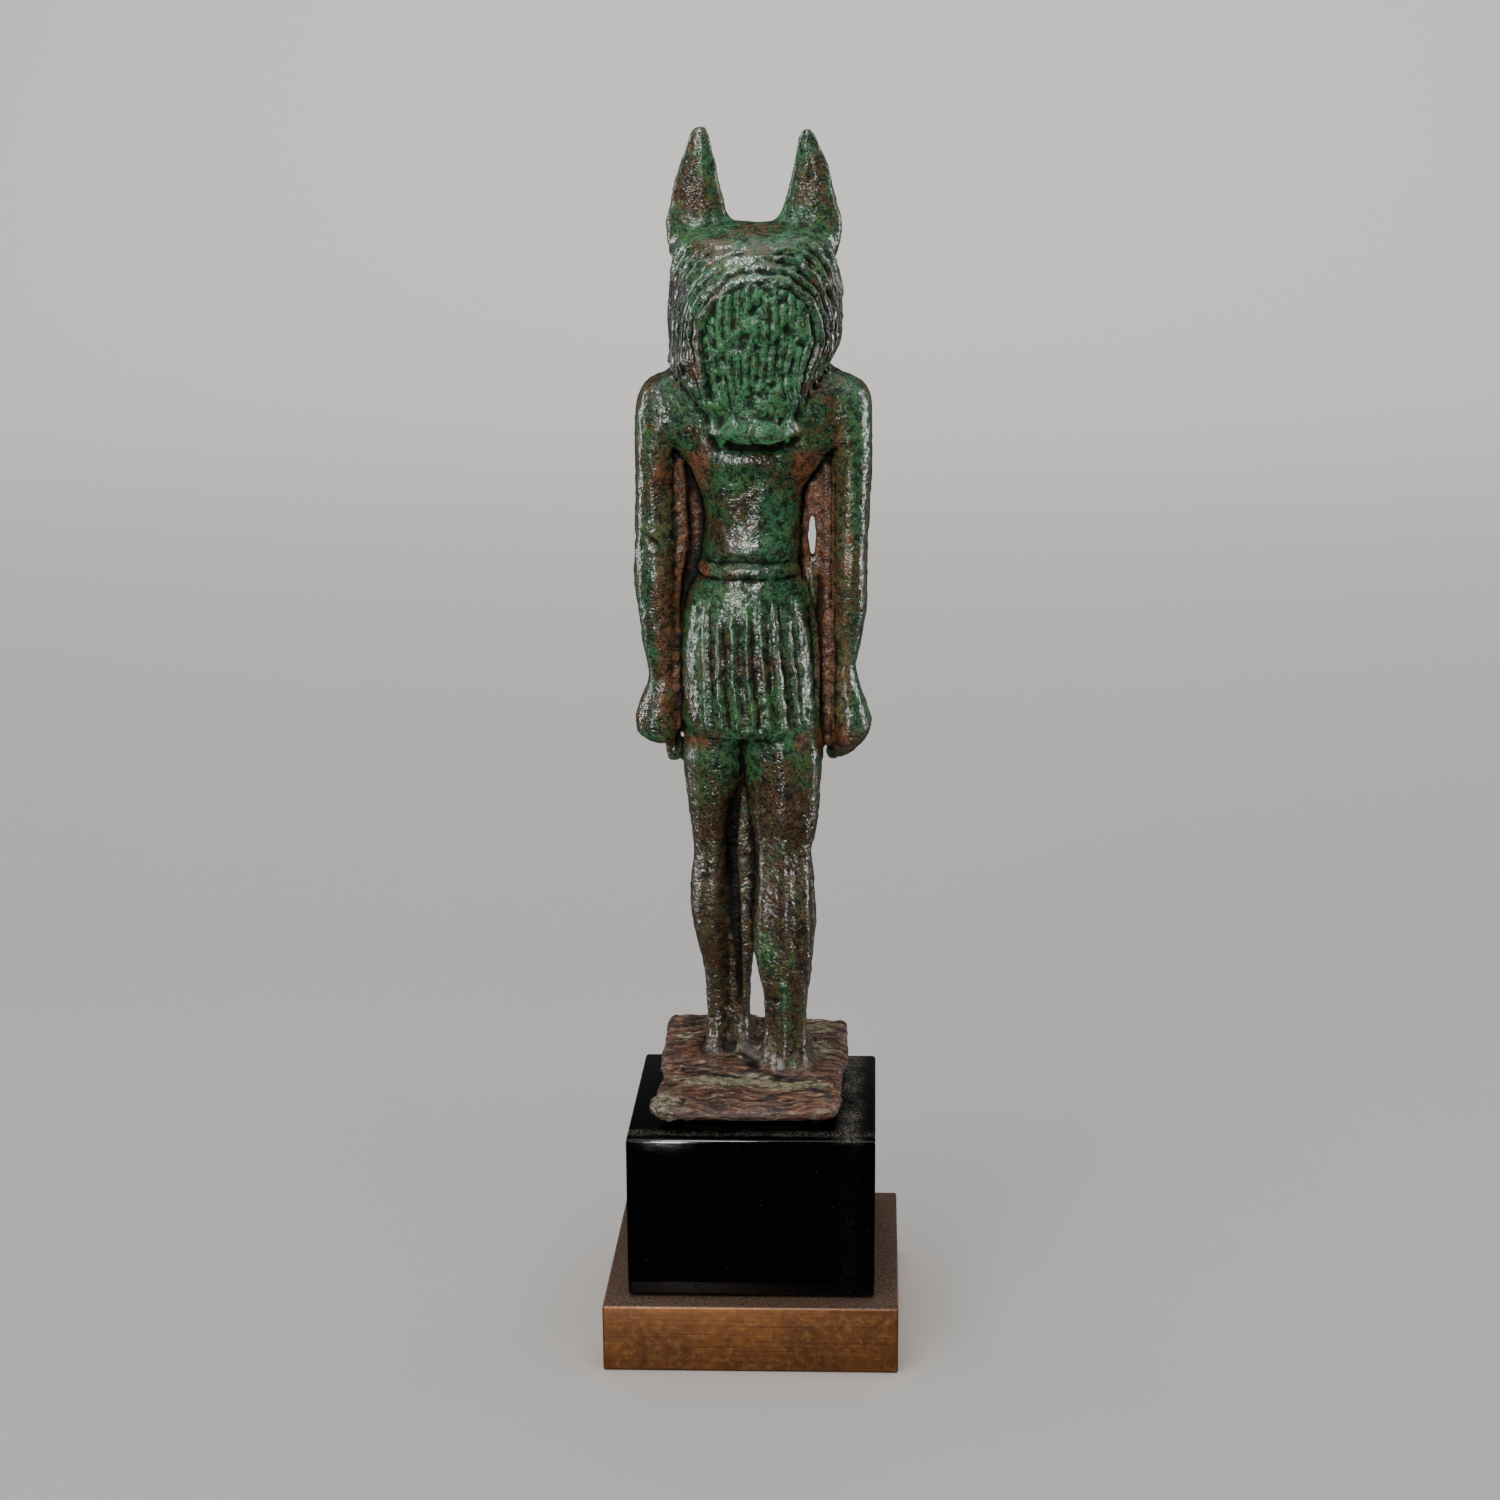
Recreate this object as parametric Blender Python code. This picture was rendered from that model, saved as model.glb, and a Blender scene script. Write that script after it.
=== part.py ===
# A striding anubis figure of cast bronze on its own thin plate, standing on a black lacquered
# block and a brass slab. Metres, +Z up. The figure faces -Y and its left side is on +X.
# The body's tables are written in millimetres for a figure 137.4 mm from soles to ear tips,
# measured from the plate's top, and are scaled to figureHeight.
import bpy
import bmesh
from math import sin, cos, pi, sqrt

figureHeight = 0.1374
plateWidth = 0.0272
plateLength = 0.0395
plateThickness = 0.0019
padHeight = 0.0016
padInset = 0.0040
blockSide = 0.0358
blockHeight = 0.0240
blockEdge = 0.0005
slabSide = 0.0427
slabThickness = 0.0100
slabEdge = 0.0004
contactGap = 0.0003
strandPitch = 1.3
strandDepth = 0.26
pleatCount = 28
pleatDepth = 0.34
weldWidth = 0.00005
mm = figureHeight / 137.4

blockTop = slabThickness + contactGap + blockHeight
plateUnder = blockTop + contactGap + padHeight
plateTop = plateUnder + plateThickness
plateCentreY = -0.0043


def blend(table, t):
    """Values of a table of stations at t, along a smooth curve through them."""
    if t <= table[0][0]:
        return list(table[0][1:])
    if t >= table[-1][0]:
        return list(table[-1][1:])
    i = 0
    while table[i + 1][0] < t:
        i += 1
    a, b = table[i], table[i + 1]
    before = table[i - 1] if i > 0 else a
    after = table[i + 2] if i + 2 < len(table) else b
    span = b[0] - a[0]
    u = (t - a[0]) / span
    out = []
    for k in range(1, len(a)):
        inSlope = (b[k] - before[k]) / (b[0] - before[0]) if b[0] != before[0] else 0.0
        outSlope = (after[k] - a[k]) / (after[0] - a[0]) if after[0] != a[0] else 0.0
        steep = (b[k] - a[k]) / span
        limit = 3.0 * abs(steep)
        same = steep * inSlope > 0
        inSlope = max(-limit, min(limit, inSlope)) if same else 0.0
        same = steep * outSlope > 0
        outSlope = max(-limit, min(limit, outSlope)) if same else 0.0
        u2, u3 = u * u, u * u * u
        out.append((2 * u3 - 3 * u2 + 1) * a[k] + (u3 - 2 * u2 + u) * span * inSlope
                   + (3 * u2 - 2 * u3) * b[k] + (u3 - u2) * span * outSlope)
    return out


def levels(low, high, count):
    return [low + (high - low) * i / (count - 1) for i in range(count)]


def oval(left, right, front, back, power, angle):
    """A point of a superellipse that fills the box; the angle runs from the back, leftwards."""
    s, c = sin(angle), cos(angle)
    x = abs(s) ** (2.0 / power) * (1 if s >= 0 else -1)
    y = abs(c) ** (2.0 / power) * (1 if c >= 0 else -1)
    return ((left + right) / 2 + x * (left - right) / 2, (back + front) / 2 + y * (back - front) / 2)


def evenly(left, right, front, back, power, distances):
    """Points of the same oval at even steps, or at the given distances from its back's middle."""
    fine = 240
    line = [oval(left, right, front, back, power, 2 * pi * i / fine) for i in range(fine + 1)]
    run = [0.0]
    for p, q in zip(line, line[1:]):
        run.append(run[-1] + sqrt((p[0] - q[0]) ** 2 + (p[1] - q[1]) ** 2))
    whole = run[-1]
    if isinstance(distances, int):
        wanted = [whole * i / distances for i in range(distances)]
    else:
        wanted = distances(whole)
    points = []
    i = 0
    for w in wanted:
        w = w % whole
        if run[i] > w:
            i = 0
        while run[i + 1] < w:
            i += 1
        step = run[i + 1] - run[i]
        u = (w - run[i]) / step if step else 0.0
        p, q = line[i], line[i + 1]
        points.append((p[0] + (q[0] - p[0]) * u, p[1] + (q[1] - p[1]) * u))
    return points, wanted, whole


def closeLoft(name, rings):
    """A closed mesh through rings of the same number of points, in the figure's millimetres."""
    bm = bmesh.new()
    rows = []
    for ring in rings:
        rows.append([bm.verts.new((x * mm, y * mm, plateTop + z * mm)) for x, y, z in ring])
    for low, high in zip(rows, rows[1:]):
        n = len(low)
        for k in range(n):
            bm.faces.new((low[k], low[(k + 1) % n], high[(k + 1) % n], high[k]))
    for row in (rows[0], rows[-1]):
        centre = bm.verts.new(sum((v.co for v in row), row[0].co * 0) / len(row))
        n = len(row)
        for k in range(n):
            bm.faces.new((row[k], row[(k + 1) % n], centre))
    bmesh.ops.recalc_face_normals(bm, faces=bm.faces)
    mesh = bpy.data.meshes.new(name)
    bm.to_mesh(mesh)
    bm.free()
    obj = bpy.data.objects.new(name, mesh)
    bpy.context.scene.collection.objects.link(obj)
    return obj


def upright(name, table, heights, count, power=2.2, carve=None):
    """A loft of level ovals. Each station is height, left, right, front, back."""
    rings = []
    for z in heights:
        left, right, front, back = blend(table, z)[:4]
        points, wanted, whole = evenly(left, right, front, back, power, count)
        ring = []
        for (x, y), s in zip(points, wanted):
            cx, cy = (left + right) / 2, (front + back) / 2
            dx, dy = x - cx, y - cy
            size = sqrt(dx * dx + dy * dy) or 1.0
            lift = carve(x, y, z, s, whole) if carve else 0.0
            ring.append((x + lift * dx / size, y + lift * dy / size, z))
        rings.append(ring)
    return closeLoft(name, rings)


def wave(distance, pitch):
    """1 on a ridge and 0 in a groove, for ridges one pitch apart with a groove at distance 0."""
    return 0.5 - 0.5 * cos(2 * pi * distance / pitch)


def ease(value, low, high):
    u = max(0.0, min(1.0, (value - low) / (high - low)))
    return u * u * (3 - 2 * u)


def join(target, others, operation="UNION"):
    """Booleans the others into the target, one after another."""
    bpy.context.view_layer.objects.active = target
    for other in others:
        boolean = target.modifiers.new(other.name, "BOOLEAN")
        boolean.operation = operation
        boolean.object = other
        boolean.solver = "EXACT"
        bpy.ops.object.modifier_apply(modifier=boolean.name)
        mesh = other.data
        bpy.data.objects.remove(other)
        bpy.data.meshes.remove(mesh)
    return target


# Torso from the hips, inside the kilt, to the neck, inside the wig.
torsoTable = [
    (68, 8.4, -7.0, -10.5, 1.6), (74, 7.7, -6.9, -9.8, 1.5), (77.4, 7.6, -6.7, -9.6, 1.4),
    (82, 7.0, -6.8, -9.8, 1.7), (87, 7.7, -7.2, -10.6, 2.4), (91.5, 10.0, -10.2, -11.6, 2.9),
    (94.5, 13.6, -13.6, -12.1, 3.2), (98, 15.2, -15.2, -12.0, 3.2), (101, 15.0, -15.0, -10.9, 2.5),
    (103.2, 13.2, -13.2, -9.2, 1.4), (105.6, 9.6, -9.6, -7.8, 0.4), (110, 6.0, -6.0, -7.0, -0.5)]


def spineGroove(x, y, z, s, whole):
    if y < -2 or z > 99:
        return 0.0
    return -0.7 * max(0.0, 1 - abs(x - 0.2) / 1.7) * ease(z, 72, 80)


# Kilt: a slim skirt that widens forward over the leading leg.
kiltTable = [
    (51.4, 9.9, -9.2, -14.2, 2.7), (52.2, 10.3, -9.6, -14.6, 3.1), (53.6, 10.6, -9.5, -14.6, 3.3),
    (60, 10.6, -8.9, -13.6, 3.6), (66, 10.4, -8.4, -12.4, 3.7), (70.5, 9.9, -7.9, -11.2, 3.2),
    (73.4, 8.9, -7.5, -10.5, 2.5), (74.4, 8.3, -7.1, -10.1, 2.0)]
kiltLevels = [51.4, 52.2, 53.0, 58.0, 64.0, 68.5, 71.2, 73.2, 74.4]

# Belt: a rounded band between two grooves.
beltTable = [
    (73.3, 8.3, -7.1, -10.1, 2.0), (74.1, 8.5, -7.3, -10.3, 2.2), (74.6, 8.9, -7.7, -10.7, 2.6),
    (75.7, 8.75, -7.8, -10.8, 2.7), (76.7, 8.4, -7.5, -10.5, 2.4), (77.1, 7.8, -6.9, -9.9, 1.8),
    (77.8, 7.2, -6.4, -9.3, 1.2)]
apronHalf = 3.1


def pleats(x, y, z, s, whole):
    fade = ease(z, 52.2, 52.9) * (1 - ease(z, 70.2, 72.8))
    if y < -8 and abs(x) < apronHalf:
        return 0.55 * ease(z, 52.2, 52.9) * (1 - ease(z, 72.0, 73.4))
    return pleatDepth * fade * (wave(s, whole / pleatCount) - 0.4)


# Legs. The right leg stands behind, the left leg is set forward.
rightLegTable = [
    (-0.6, -0.4, -8.4, -8.0, 1.3), (1.4, -0.2, -8.4, -7.6, 1.35), (3.4, -0.9, -7.9, -6.8, 0.8),
    (6, -1.4, -7.4, -6.1, 0.3), (11, -1.1, -7.7, -5.9, 0.4), (14.5, -0.5, -8.3, -6.4, 1.0),
    (18.5, 0.15, -8.8, -7.0, 1.7), (23, 0.4, -9.1, -7.7, 2.2), (28.3, 0.2, -8.75, -8.3, 1.7),
    (33, 0.1, -8.2, -9.2, 0.7), (37, 0.5, -9.1, -9.5, 1.1), (43, 1.2, -9.6, -10.3, 1.7),
    (49, 2.4, -9.9, -11.2, 2.0), (56, 3.0, -9.2, -11.5, 2.2)]
leftLegTable = [
    (-0.6, 8.0, 0.9, -14.8, -6.0), (1.4, 8.0, 0.9, -14.6, -6.0), (3.4, 7.95, 1.0, -13.9, -6.5),
    (6, 7.85, 1.15, -13.3, -6.9), (11, 7.9, 1.2, -13.0, -6.5), (14.5, 8.4, 1.2, -13.2, -5.7),
    (18.5, 9.2, 1.2, -13.5, -4.7), (22.5, 9.9, 1.15, -13.7, -4.0), (26.4, 10.1, 1.3, -13.8, -3.8),
    (32, 9.35, 1.7, -13.9, -3.9), (35, 9.6, 1.7, -13.8, -3.3), (42, 10.4, 1.4, -13.6, -1.4),
    (48, 10.7, 0.4, -13.4, 0.0), (56, 9.9, 0.0, -12.6, 1.0)]
legLevels = [-0.6, 1.4, 3.4, 6, 10, 14, 18.5, 23, 28, 32.8, 36.5, 43, 49, 56]

# Feet, from the heel forward: distance, left, right and instep height from the foot's own heel.
footTable = [
    (0.0, 2.6, -2.6, 1.6), (0.8, 3.5, -3.5, 3.0), (3.5, 3.7, -3.7, 4.4), (6.5, 3.4, -3.5, 4.6),
    (9.5, 3.5, -3.6, 3.7), (12.5, 3.9, -3.9, 2.7), (15.0, 4.1, -4.0, 2.1), (16.8, 3.9, -3.8, 1.8),
    (17.9, 3.3, -3.3, 1.3), (18.4, 2.8, -2.8, 0.7)]
footSteps = [0.0, 0.8, 3.5, 6.5, 9.5, 12.0, 13.8, 15.2, 16.6, 17.7, 18.4]
footShare = 0.95


def foot(name, centreX, heelY, sole=-0.5, count=18):
    rings = []
    for step in footSteps:
        left, right, top = blend(footTable, step)
        ring = []
        for k in range(count - 2):
            angle = pi * k / (count - 3)
            x = (left + right) / 2 + cos(angle) * (left - right) / 2
            rise = max(0.0, sin(angle)) ** 0.7
            toe = ease(step, 13.0, 15.5) * 0.17 * (1 - wave(x - right, (left - right) / 5)) * rise
            ring.append((centreX + x, heelY - step * footShare, 0.15 + (top - 0.15) * rise * (1 - toe)))
        ring += [(centreX + side * 0.97, heelY - step * footShare, sole) for side in (right, left)]
        rings.append(ring)
    return closeLoft(name, rings)


# Arms with their fists: height, outer side, inner side, front, back.
leftArmTable = [
    (49.2, 14.6, 12.2, -7.6, -4.2), (49.7, 16.0, 11.6, -9.4, -2.8), (51, 17.4, 11.3, -10.8, -1.6),
    (53, 17.6, 11.2, -11.0, -1.4), (55.5, 16.9, 11.2, -10.3, -2.2), (58.7, 15.5, 11.2, -9.2, -3.3),
    (61, 15.8, 11.1, -9.2, -2.9), (65, 16.5, 11.0, -9.1, -2.0), (70, 17.0, 11.0, -8.8, -1.2),
    (74, 17.4, 11.1, -8.6, -0.6), (79, 17.2, 11.2, -8.5, -0.7), (88, 17.0, 11.2, -8.8, -0.3),
    (93, 17.0, 10.8, -9.2, 0.3), (96.5, 17.0, 9.6, -9.4, 0.9), (99.4, 16.7, 9.0, -9.1, 0.8),
    (101.8, 15.8, 9.6, -8.2, -0.3), (103.2, 14.0, 10.6, -6.8, -2.0)]
rightArmTable = [
    (47.2, -13.8, -11.6, -7.6, -4.2), (47.9, -15.2, -11.3, -9.4, -2.8), (49.6, -16.6, -11.2, -10.8, -1.6),
    (52, -17.1, -11.2, -11.0, -1.4), (55.2, -16.2, -11.2, -10.3, -2.2), (60.5, -14.6, -11.3, -9.2, -3.3),
    (63, -15.1, -11.3, -9.2, -2.9), (67, -15.9, -11.2, -9.1, -2.0), (71, -16.3, -11.2, -8.8, -1.2),
    (75, -16.3, -11.2, -8.6, -0.6), (79, -16.3, -11.3, -8.5, -0.7), (88, -16.8, -11.3, -8.8, -0.3),
    (93, -16.9, -10.8, -9.2, 0.3), (96.5, -16.9, -9.6, -9.4, 0.9), (99.4, -16.9, -9.0, -9.1, 0.8),
    (101.8, -16.2, -9.6, -8.2, -0.3), (103.2, -14.2, -10.6, -6.8, -2.0)]

# Wig: the cap and the back lappet in one, with a plain roll along the lappet's hem.
wigTable = [
    (92.2, 4.6, -5.2, -1.0, 5.2), (92.8, 5.4, -5.9, -1.0, 6.3), (94.2, 5.6, -6.1, -1.2, 6.7),
    (95.6, 5.5, -6.0, -1.6, 6.3), (96.3, 6.1, -6.2, -2.0, 6.0), (98.5, 7.9, -7.4, -2.6, 6.4),
    (101, 9.6, -8.7, -5.0, 6.6), (104.4, 11.7, -10.9, -9.0, 6.8), (107, 11.6, -12.0, -11.6, 7.1),
    (111, 11.9, -12.6, -12.6, 7.3), (115.6, 11.6, -12.4, -12.7, 6.8), (118.6, 11.8, -12.1, -12.4, 5.7),
    (121, 11.7, -11.9, -11.0, 4.0), (122.6, 9.8, -10.0, -9.4, 1.8), (123.7, 7.2, -7.4, -7.9, -0.8),
    (124.3, 4.0, -4.2, -6.2, -3.0)]
lowLevels = [92.2, 92.8, 94.2, 95.6, 96.4, 99.5, 104, 109, 113]
archFrom = 115.4
archCount = 4
topLevels = [121.6, 122.7, 123.7, 124.3]
backRun = 13.0
sideSteps = 12
archRun = 9.1
archDrop = 3.2
wigPower = 2.25


def wigSteps(whole):
    """Two steps to a strand across the back, wider steps round the sides and the front."""
    half = whole / 2
    n = int(backRun / (strandPitch / 2))
    back = [k * strandPitch / 2 for k in range(n + 1)]
    if half < backRun * 1.15:
        scale = half * 0.75 / back[-1]
        back = [b * scale for b in back]
    rest = [back[-1] + (half - back[-1]) * k / sideSteps for k in range(1, sideSteps)]
    one = back + rest + [half]
    return one + [whole - s for s in reversed(one[1:-1])]


def strands(run, z, half, row):
    """Upright strands; arched ones cross the back of the head, one to every second row."""
    if run <= backRun:
        value = wave(run + strandPitch / 2, strandPitch)
    else:
        step = (half - backRun) / sideSteps
        value = wave(run - backRun + step, step * 2)
    if row is not None:
        across = 1 - ease(run, archRun, archRun + 1.2)
        value = value * (1 - across) + (row % 2) * across
    return strandDepth * (value - 0.5) * ease(z, 95.6, 96.6) * (1 - ease(z, 121.4, 122.4))


def buildWig():
    archLevels = levels(archFrom, 121.0, archCount * 2 + 1)
    rows = [(z, None) for z in lowLevels] + [(z, i) for i, z in enumerate(archLevels)]
    rows += [(z, None) for z in topLevels]
    rings = []
    for z, row in rows:
        steps, whole = evenly(*blend(wigTable, z), wigPower, wigSteps)[1:]
        drooping = archDrop * ease(z, 96.5, archFrom) * (1 - ease(z, 120.6, 123.4))
        ring = []
        for k, s in enumerate(steps):
            low = z - drooping * min(1.0, min(s, whole - s) / archRun) ** 2
            points, wanted, around = evenly(*blend(wigTable, low), wigPower, wigSteps)
            x, y = points[k]
            lift = strands(min(wanted[k], around - wanted[k]), low, around / 2, row)
            size = sqrt(x * x + (y + 3) ** 2)
            ring.append((x + lift * x / size, y + lift * (y + 3) / size, low))
        rings.append(ring)
    return closeLoft("wig", rings)


# Front lappets of the wig: height, outer side, inner side, front, back.
lappetTable = [
    (84.6, 8.6, 3.4, -12.6, -9.0), (85.4, 9.0, 3.0, -13.3, -8.0), (90, 9.3, 2.9, -13.9, -8.0),
    (97, 9.7, 2.8, -14.0, -8.0), (103, 10.2, 3.2, -13.2, -6.0), (107.5, 10.6, 4.2, -11.8, -5.0),
    (111, 10.4, 4.6, -9.8, -4.5), (114, 9.6, 5.0, -8.0, -4.2)]


def lappetStrands(x, y, z, s, whole):
    if y > -10 or z < 85.2:
        return 0.0
    return strandDepth * (wave(s, whole / 14) - 0.5)


# Jackal's head, from inside the wig forward: reach, half width, top, underside.
headTable = [
    (4.0, 6.6, 120.0, 106.0), (9.0, 7.2, 121.2, 105.4), (12.0, 6.8, 120.6, 105.2),
    (14.3, 5.7, 118.4, 105.4), (16.2, 4.4, 115.9, 105.9), (18.6, 3.5, 114.2, 106.5),
    (21.4, 3.0, 113.2, 107.2), (23.6, 2.6, 112.7, 107.7), (24.6, 2.0, 112.2, 108.3),
    (25.0, 1.1, 111.5, 109.2)]
headSteps = [4.0, 9.0, 11.0, 12.6, 13.8, 15.0, 16.2, 17.6, 19.4, 21.4, 23.0, 24.0, 24.6, 25.0]


def jackalHead(name, count=20):
    rings = []
    for step in headSteps:
        half, top, low = blend(headTable, step)
        ring = []
        for k in range(count):
            angle = 2 * pi * k / count
            x = half * abs(sin(angle)) ** 0.9 * (1 if sin(angle) >= 0 else -1)
            z = (top + low) / 2 + (top - low) / 2 * cos(angle)
            mouth = ease(step, 15.5, 17.5) * max(0.0, 1 - abs(z - (low + 0.34 * (top - low))) / 0.6)
            x *= 1 - 0.10 * mouth
            ring.append((x, -step, z))
        rings.append(ring)
    return closeLoft(name, rings)


def eye(name, side):
    """A raised almond with its rim, set on the slope between brow and muzzle."""
    rings = []
    for step, size in ((-0.9, 0.5), (-0.3, 1.0), (0.35, 0.86), (0.55, 0.35)):
        ring = []
        for k in range(12):
            angle = 2 * pi * k / 12
            along = cos(angle) * 1.9 * size
            high = sin(angle) * 0.85 * size * (1 - 0.35 * abs(cos(angle)))
            ring.append((side * (4.85 + step * 0.85 - along * 0.45), -14.3 - step * 0.5 - along * 0.85,
                         115.2 + high + along * -0.12 + step * 0.25))
        rings.append(ring)
    return closeLoft(name, rings)


# Ears: height, outer side, inner side, front, back; each is hollowed in front.
leftEarTable = [
    (118.5, 12.0, 4.6, -7.6, -2.4), (121.5, 12.25, 3.4, -7.5, -2.2), (124.4, 12.25, 2.7, -7.3, -2.6),
    (126, 12.0, 3.5, -7.1, -2.9), (129, 11.4, 4.2, -6.8, -3.3), (132, 10.6, 4.75, -6.5, -3.7),
    (134.6, 9.5, 5.5, -6.2, -4.1), (136.3, 8.5, 6.1, -5.9, -4.4), (137.4, 7.55, 7.05, -5.6, -4.7)]
rightEarTable = [
    (118.5, -12.2, -4.6, -7.6, -2.4), (121.5, -12.65, -3.4, -7.5, -2.2), (124.2, -12.6, -2.8, -7.3, -2.6),
    (125.8, -12.35, -3.8, -7.1, -2.9), (129, -11.6, -4.7, -6.8, -3.3), (132, -10.85, -5.4, -6.5, -3.7),
    (134.4, -9.8, -5.95, -6.2, -4.1), (136, -8.7, -6.5, -5.9, -4.4), (137.0, -7.65, -7.15, -5.6, -4.7)]
earLevels = [118.5, 121.5, 124.4, 126.5, 129, 131.5, 133.6, 135.2, 136.4, 137.2]


def ear(name, table, count=18):
    rings = []
    for z in earLevels:
        z = min(z, table[-1][0])
        left, right, front, back = blend(table, z)
        half = abs(left - right) / 2
        ring = []
        for k in range(count):
            x, y = oval(left, right, front, back, 2.0, 2 * pi * k / count)
            across = abs(x - (left + right) / 2) / half
            hollow = (1 - across * across) * (back - front) * 0.62 * ease(z, 118.5, 121.5)
            if y < (front + back) / 2:
                y += hollow
            ring.append((x, y, z))
        rings.append(ring)
    return closeLoft(name, rings)


def strip(name, stations, depth):
    """An upright bar: height, left, right, back. It reaches the given depth forward."""
    rings = []
    for z, left, right, back in stations:
        rings.append([(left, back, z), (left, back - depth, z), (right, back - depth, z), (right, back, z)])
    return closeLoft(name, rings)


def plateRing(z, inset, drift=1.0):
    """One level of the plate: a rectangle with soft corners and a slightly uneven rim."""
    halfW = plateWidth / 2 / mm - inset
    halfL = plateLength / 2 / mm - inset
    ring = []
    count = 40
    outline = evenly(halfW, -halfW, -halfL, halfL, 14.0, count)[0]
    for k, (x, y) in enumerate(outline):
        angle = 2 * pi * k / count
        uneven = 0.16 * sin(3 * angle + 0.6) + 0.12 * sin(7 * angle + 2.0) + 0.08 * sin(13 * angle)
        x += drift * uneven * x / halfW
        y += drift * uneven * y / halfL
        chip = drift * max(0.0, 1 - abs(angle - 0.72) / 0.30)
        ring.append((x - 0.7 * chip, y - 0.5 * chip, z))
    centre = plateCentreY / mm
    return [(x + 0.35, y + centre, z) for x, y, z in ring]


def buildPlate():
    thick = plateThickness / mm
    pad = padHeight / mm
    inset = padInset / mm
    rings = [plateRing(-thick - pad, inset, 0), plateRing(-thick, inset - 0.5, 0),
             plateRing(-thick, 0.5), plateRing(-thick * 0.75, 0.0), plateRing(-thick * 0.25, 0.05),
             plateRing(0.0, 0.45)]
    return closeLoft("plate", rings)


def buildFigure():
    body = upright("anubis_figure", torsoTable, levels(70, 110, 13), 28, 2.3, spineGroove)
    kilt = upright("kilt", kiltTable, kiltLevels, pleatCount * 2, 2.3, pleats)
    belt = upright("belt", beltTable, [row[0] for row in beltTable], 28, 2.3)
    rightLeg = upright("right_leg", rightLegTable, legLevels, 18, 2.1)
    leftLeg = upright("left_leg", leftLegTable, legLevels, 18, 2.1)
    rightFoot = foot("right_foot", -4.3, 1.5)
    leftFoot = foot("left_foot", 4.4, -5.7)
    armLevels = [0.0, 0.012, 0.045, 0.115, 0.165, 0.205, 0.25, 0.34, 0.46, 0.6, 0.8, 0.9,
                 0.955, 0.985, 1.0]
    arms = []
    for name, table in (("left_arm", leftArmTable), ("right_arm", rightArmTable)):
        low, high = table[0][0], table[-1][0]
        arms.append(upright(name, table, [low + (high - low) * a for a in armLevels], 14, 2.2))
    lappets = []
    for side, name in ((1, "left_lappet"), (-1, "right_lappet")):
        table = [(z, side * a, side * b, f, k) for z, a, b, f, k in lappetTable]
        lappets.append(upright(name, table, [84.6, 85.4, 91, 97, 103, 107.5, 114], 28, 2.6, lappetStrands))
    webs = [
        # Webs of metal left between arms and body and between the legs.
        strip("left_web", [(52.5, 13, 8.6, -5.0), (70, 13, 8.0, -4.2), (97, 13, 6.0, -3.4)], 2.4),
        strip("left_rib", [(51.5, 13.3, 10.9, -4.0), (69, 13.3, 10.9, -3.1), (74, 13.3, 10.3, -2.6),
                           (80, 13.3, 9.3, -2.4), (92, 13.3, 9.9, -2.2), (96, 13.3, 10.6, -2.0)], 2.0),
        strip("right_web", [(51, -7.2, -13, -4.2), (75, -6.0, -13, -3.2), (97, -6.0, -13, -2.8)], 2.8),
        strip("leg_web", [(19, 2.2, -0.9, -4.2), (32, 2.6, -1.0, -4.0), (46, 3.0, -0.8, -3.0)], 4.0),
        strip("heel_web", [(-0.8, 2.0, -1.6, -4.4), (4.2, 2.0, -1.9, -4.8), (6.4, 2.2, -2.4, -5.2)], 5.2)]
    stubs = [
        # Stubs of what the fists hold.
        upright("left_stub", [(46.2, 12.9, 11.2, -7.6, -5.9), (47.4, 13.3, 10.9, -8.0, -5.4),
                              (52, 13.6, 11.2, -8.2, -5.2)], [46.2, 47.4, 52], 10, 2.0),
        upright("right_stub", [(46.6, -12.0, -10.8, -7.6, -5.9), (47.4, -12.4, -10.3, -8.0, -5.4),
                               (52, -13.4, -11.0, -8.2, -5.2)], [46.6, 47.4, 52], 10, 2.0)]
    heads = [jackalHead("head"), eye("left_eye", 1), eye("right_eye", -1), buildWig(),
             ear("left_ear", leftEarTable), ear("right_ear", rightEarTable)]
    parts = [kilt, belt, rightLeg, leftLeg] + webs + [buildPlate(), rightFoot, leftFoot]
    parts += arms + stubs + lappets + heads
    join(body, parts)
    cutters = [
        strip("arm_slot", [(77.0, -7.95, -8.9, 3.0), (80, -7.7, -8.9, 3.0), (82.9, -7.95, -8.9, 3.0)], 16),
        strip("leg_slit", [(30.0, 0.95, 0.35, 6.0), (36.4, 1.05, 0.35, 6.0)], 26),
        strip("calf_groove", [(0.3, 4.7, 3.9, -5.0), (6, 4.6, 3.6, -5.2), (14, 4.7, 3.5, -4.0),
                              (24, 4.9, 3.5, -2.6), (34, 5.0, 3.4, -1.6), (41, 4.6, 3.8, 0.6)], 3.4)]
    join(body, cutters, "DIFFERENCE")
    weld = body.modifiers.new("weld", "WELD")
    weld.merge_threshold = weldWidth
    return body


def buildBox(name, side, height, base, edge):
    bpy.ops.mesh.primitive_cube_add(size=1.0, location=(0.0, 0.0, base + height / 2))
    box = bpy.context.active_object
    box.name = name
    box.data.name = name
    box.scale = (side, side, height)
    bpy.ops.object.transform_apply(location=False, rotation=False, scale=True)
    bevel = box.modifiers.new("edges", "BEVEL")
    bevel.width = edge
    bevel.segments = 2
    bevel.limit_method = "ANGLE"
    return box


def paint(obj, name, colour, roughness, metallic):
    material = bpy.data.materials.new(name)
    material.use_nodes = True
    shader = material.node_tree.nodes["Principled BSDF"]
    shader.inputs["Base Color"].default_value = (*colour, 1.0)
    shader.inputs["Roughness"].default_value = roughness
    shader.inputs["Metallic"].default_value = metallic
    obj.data.materials.clear()
    obj.data.materials.append(material)


for old in list(bpy.data.objects):
    bpy.data.objects.remove(old)

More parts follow.
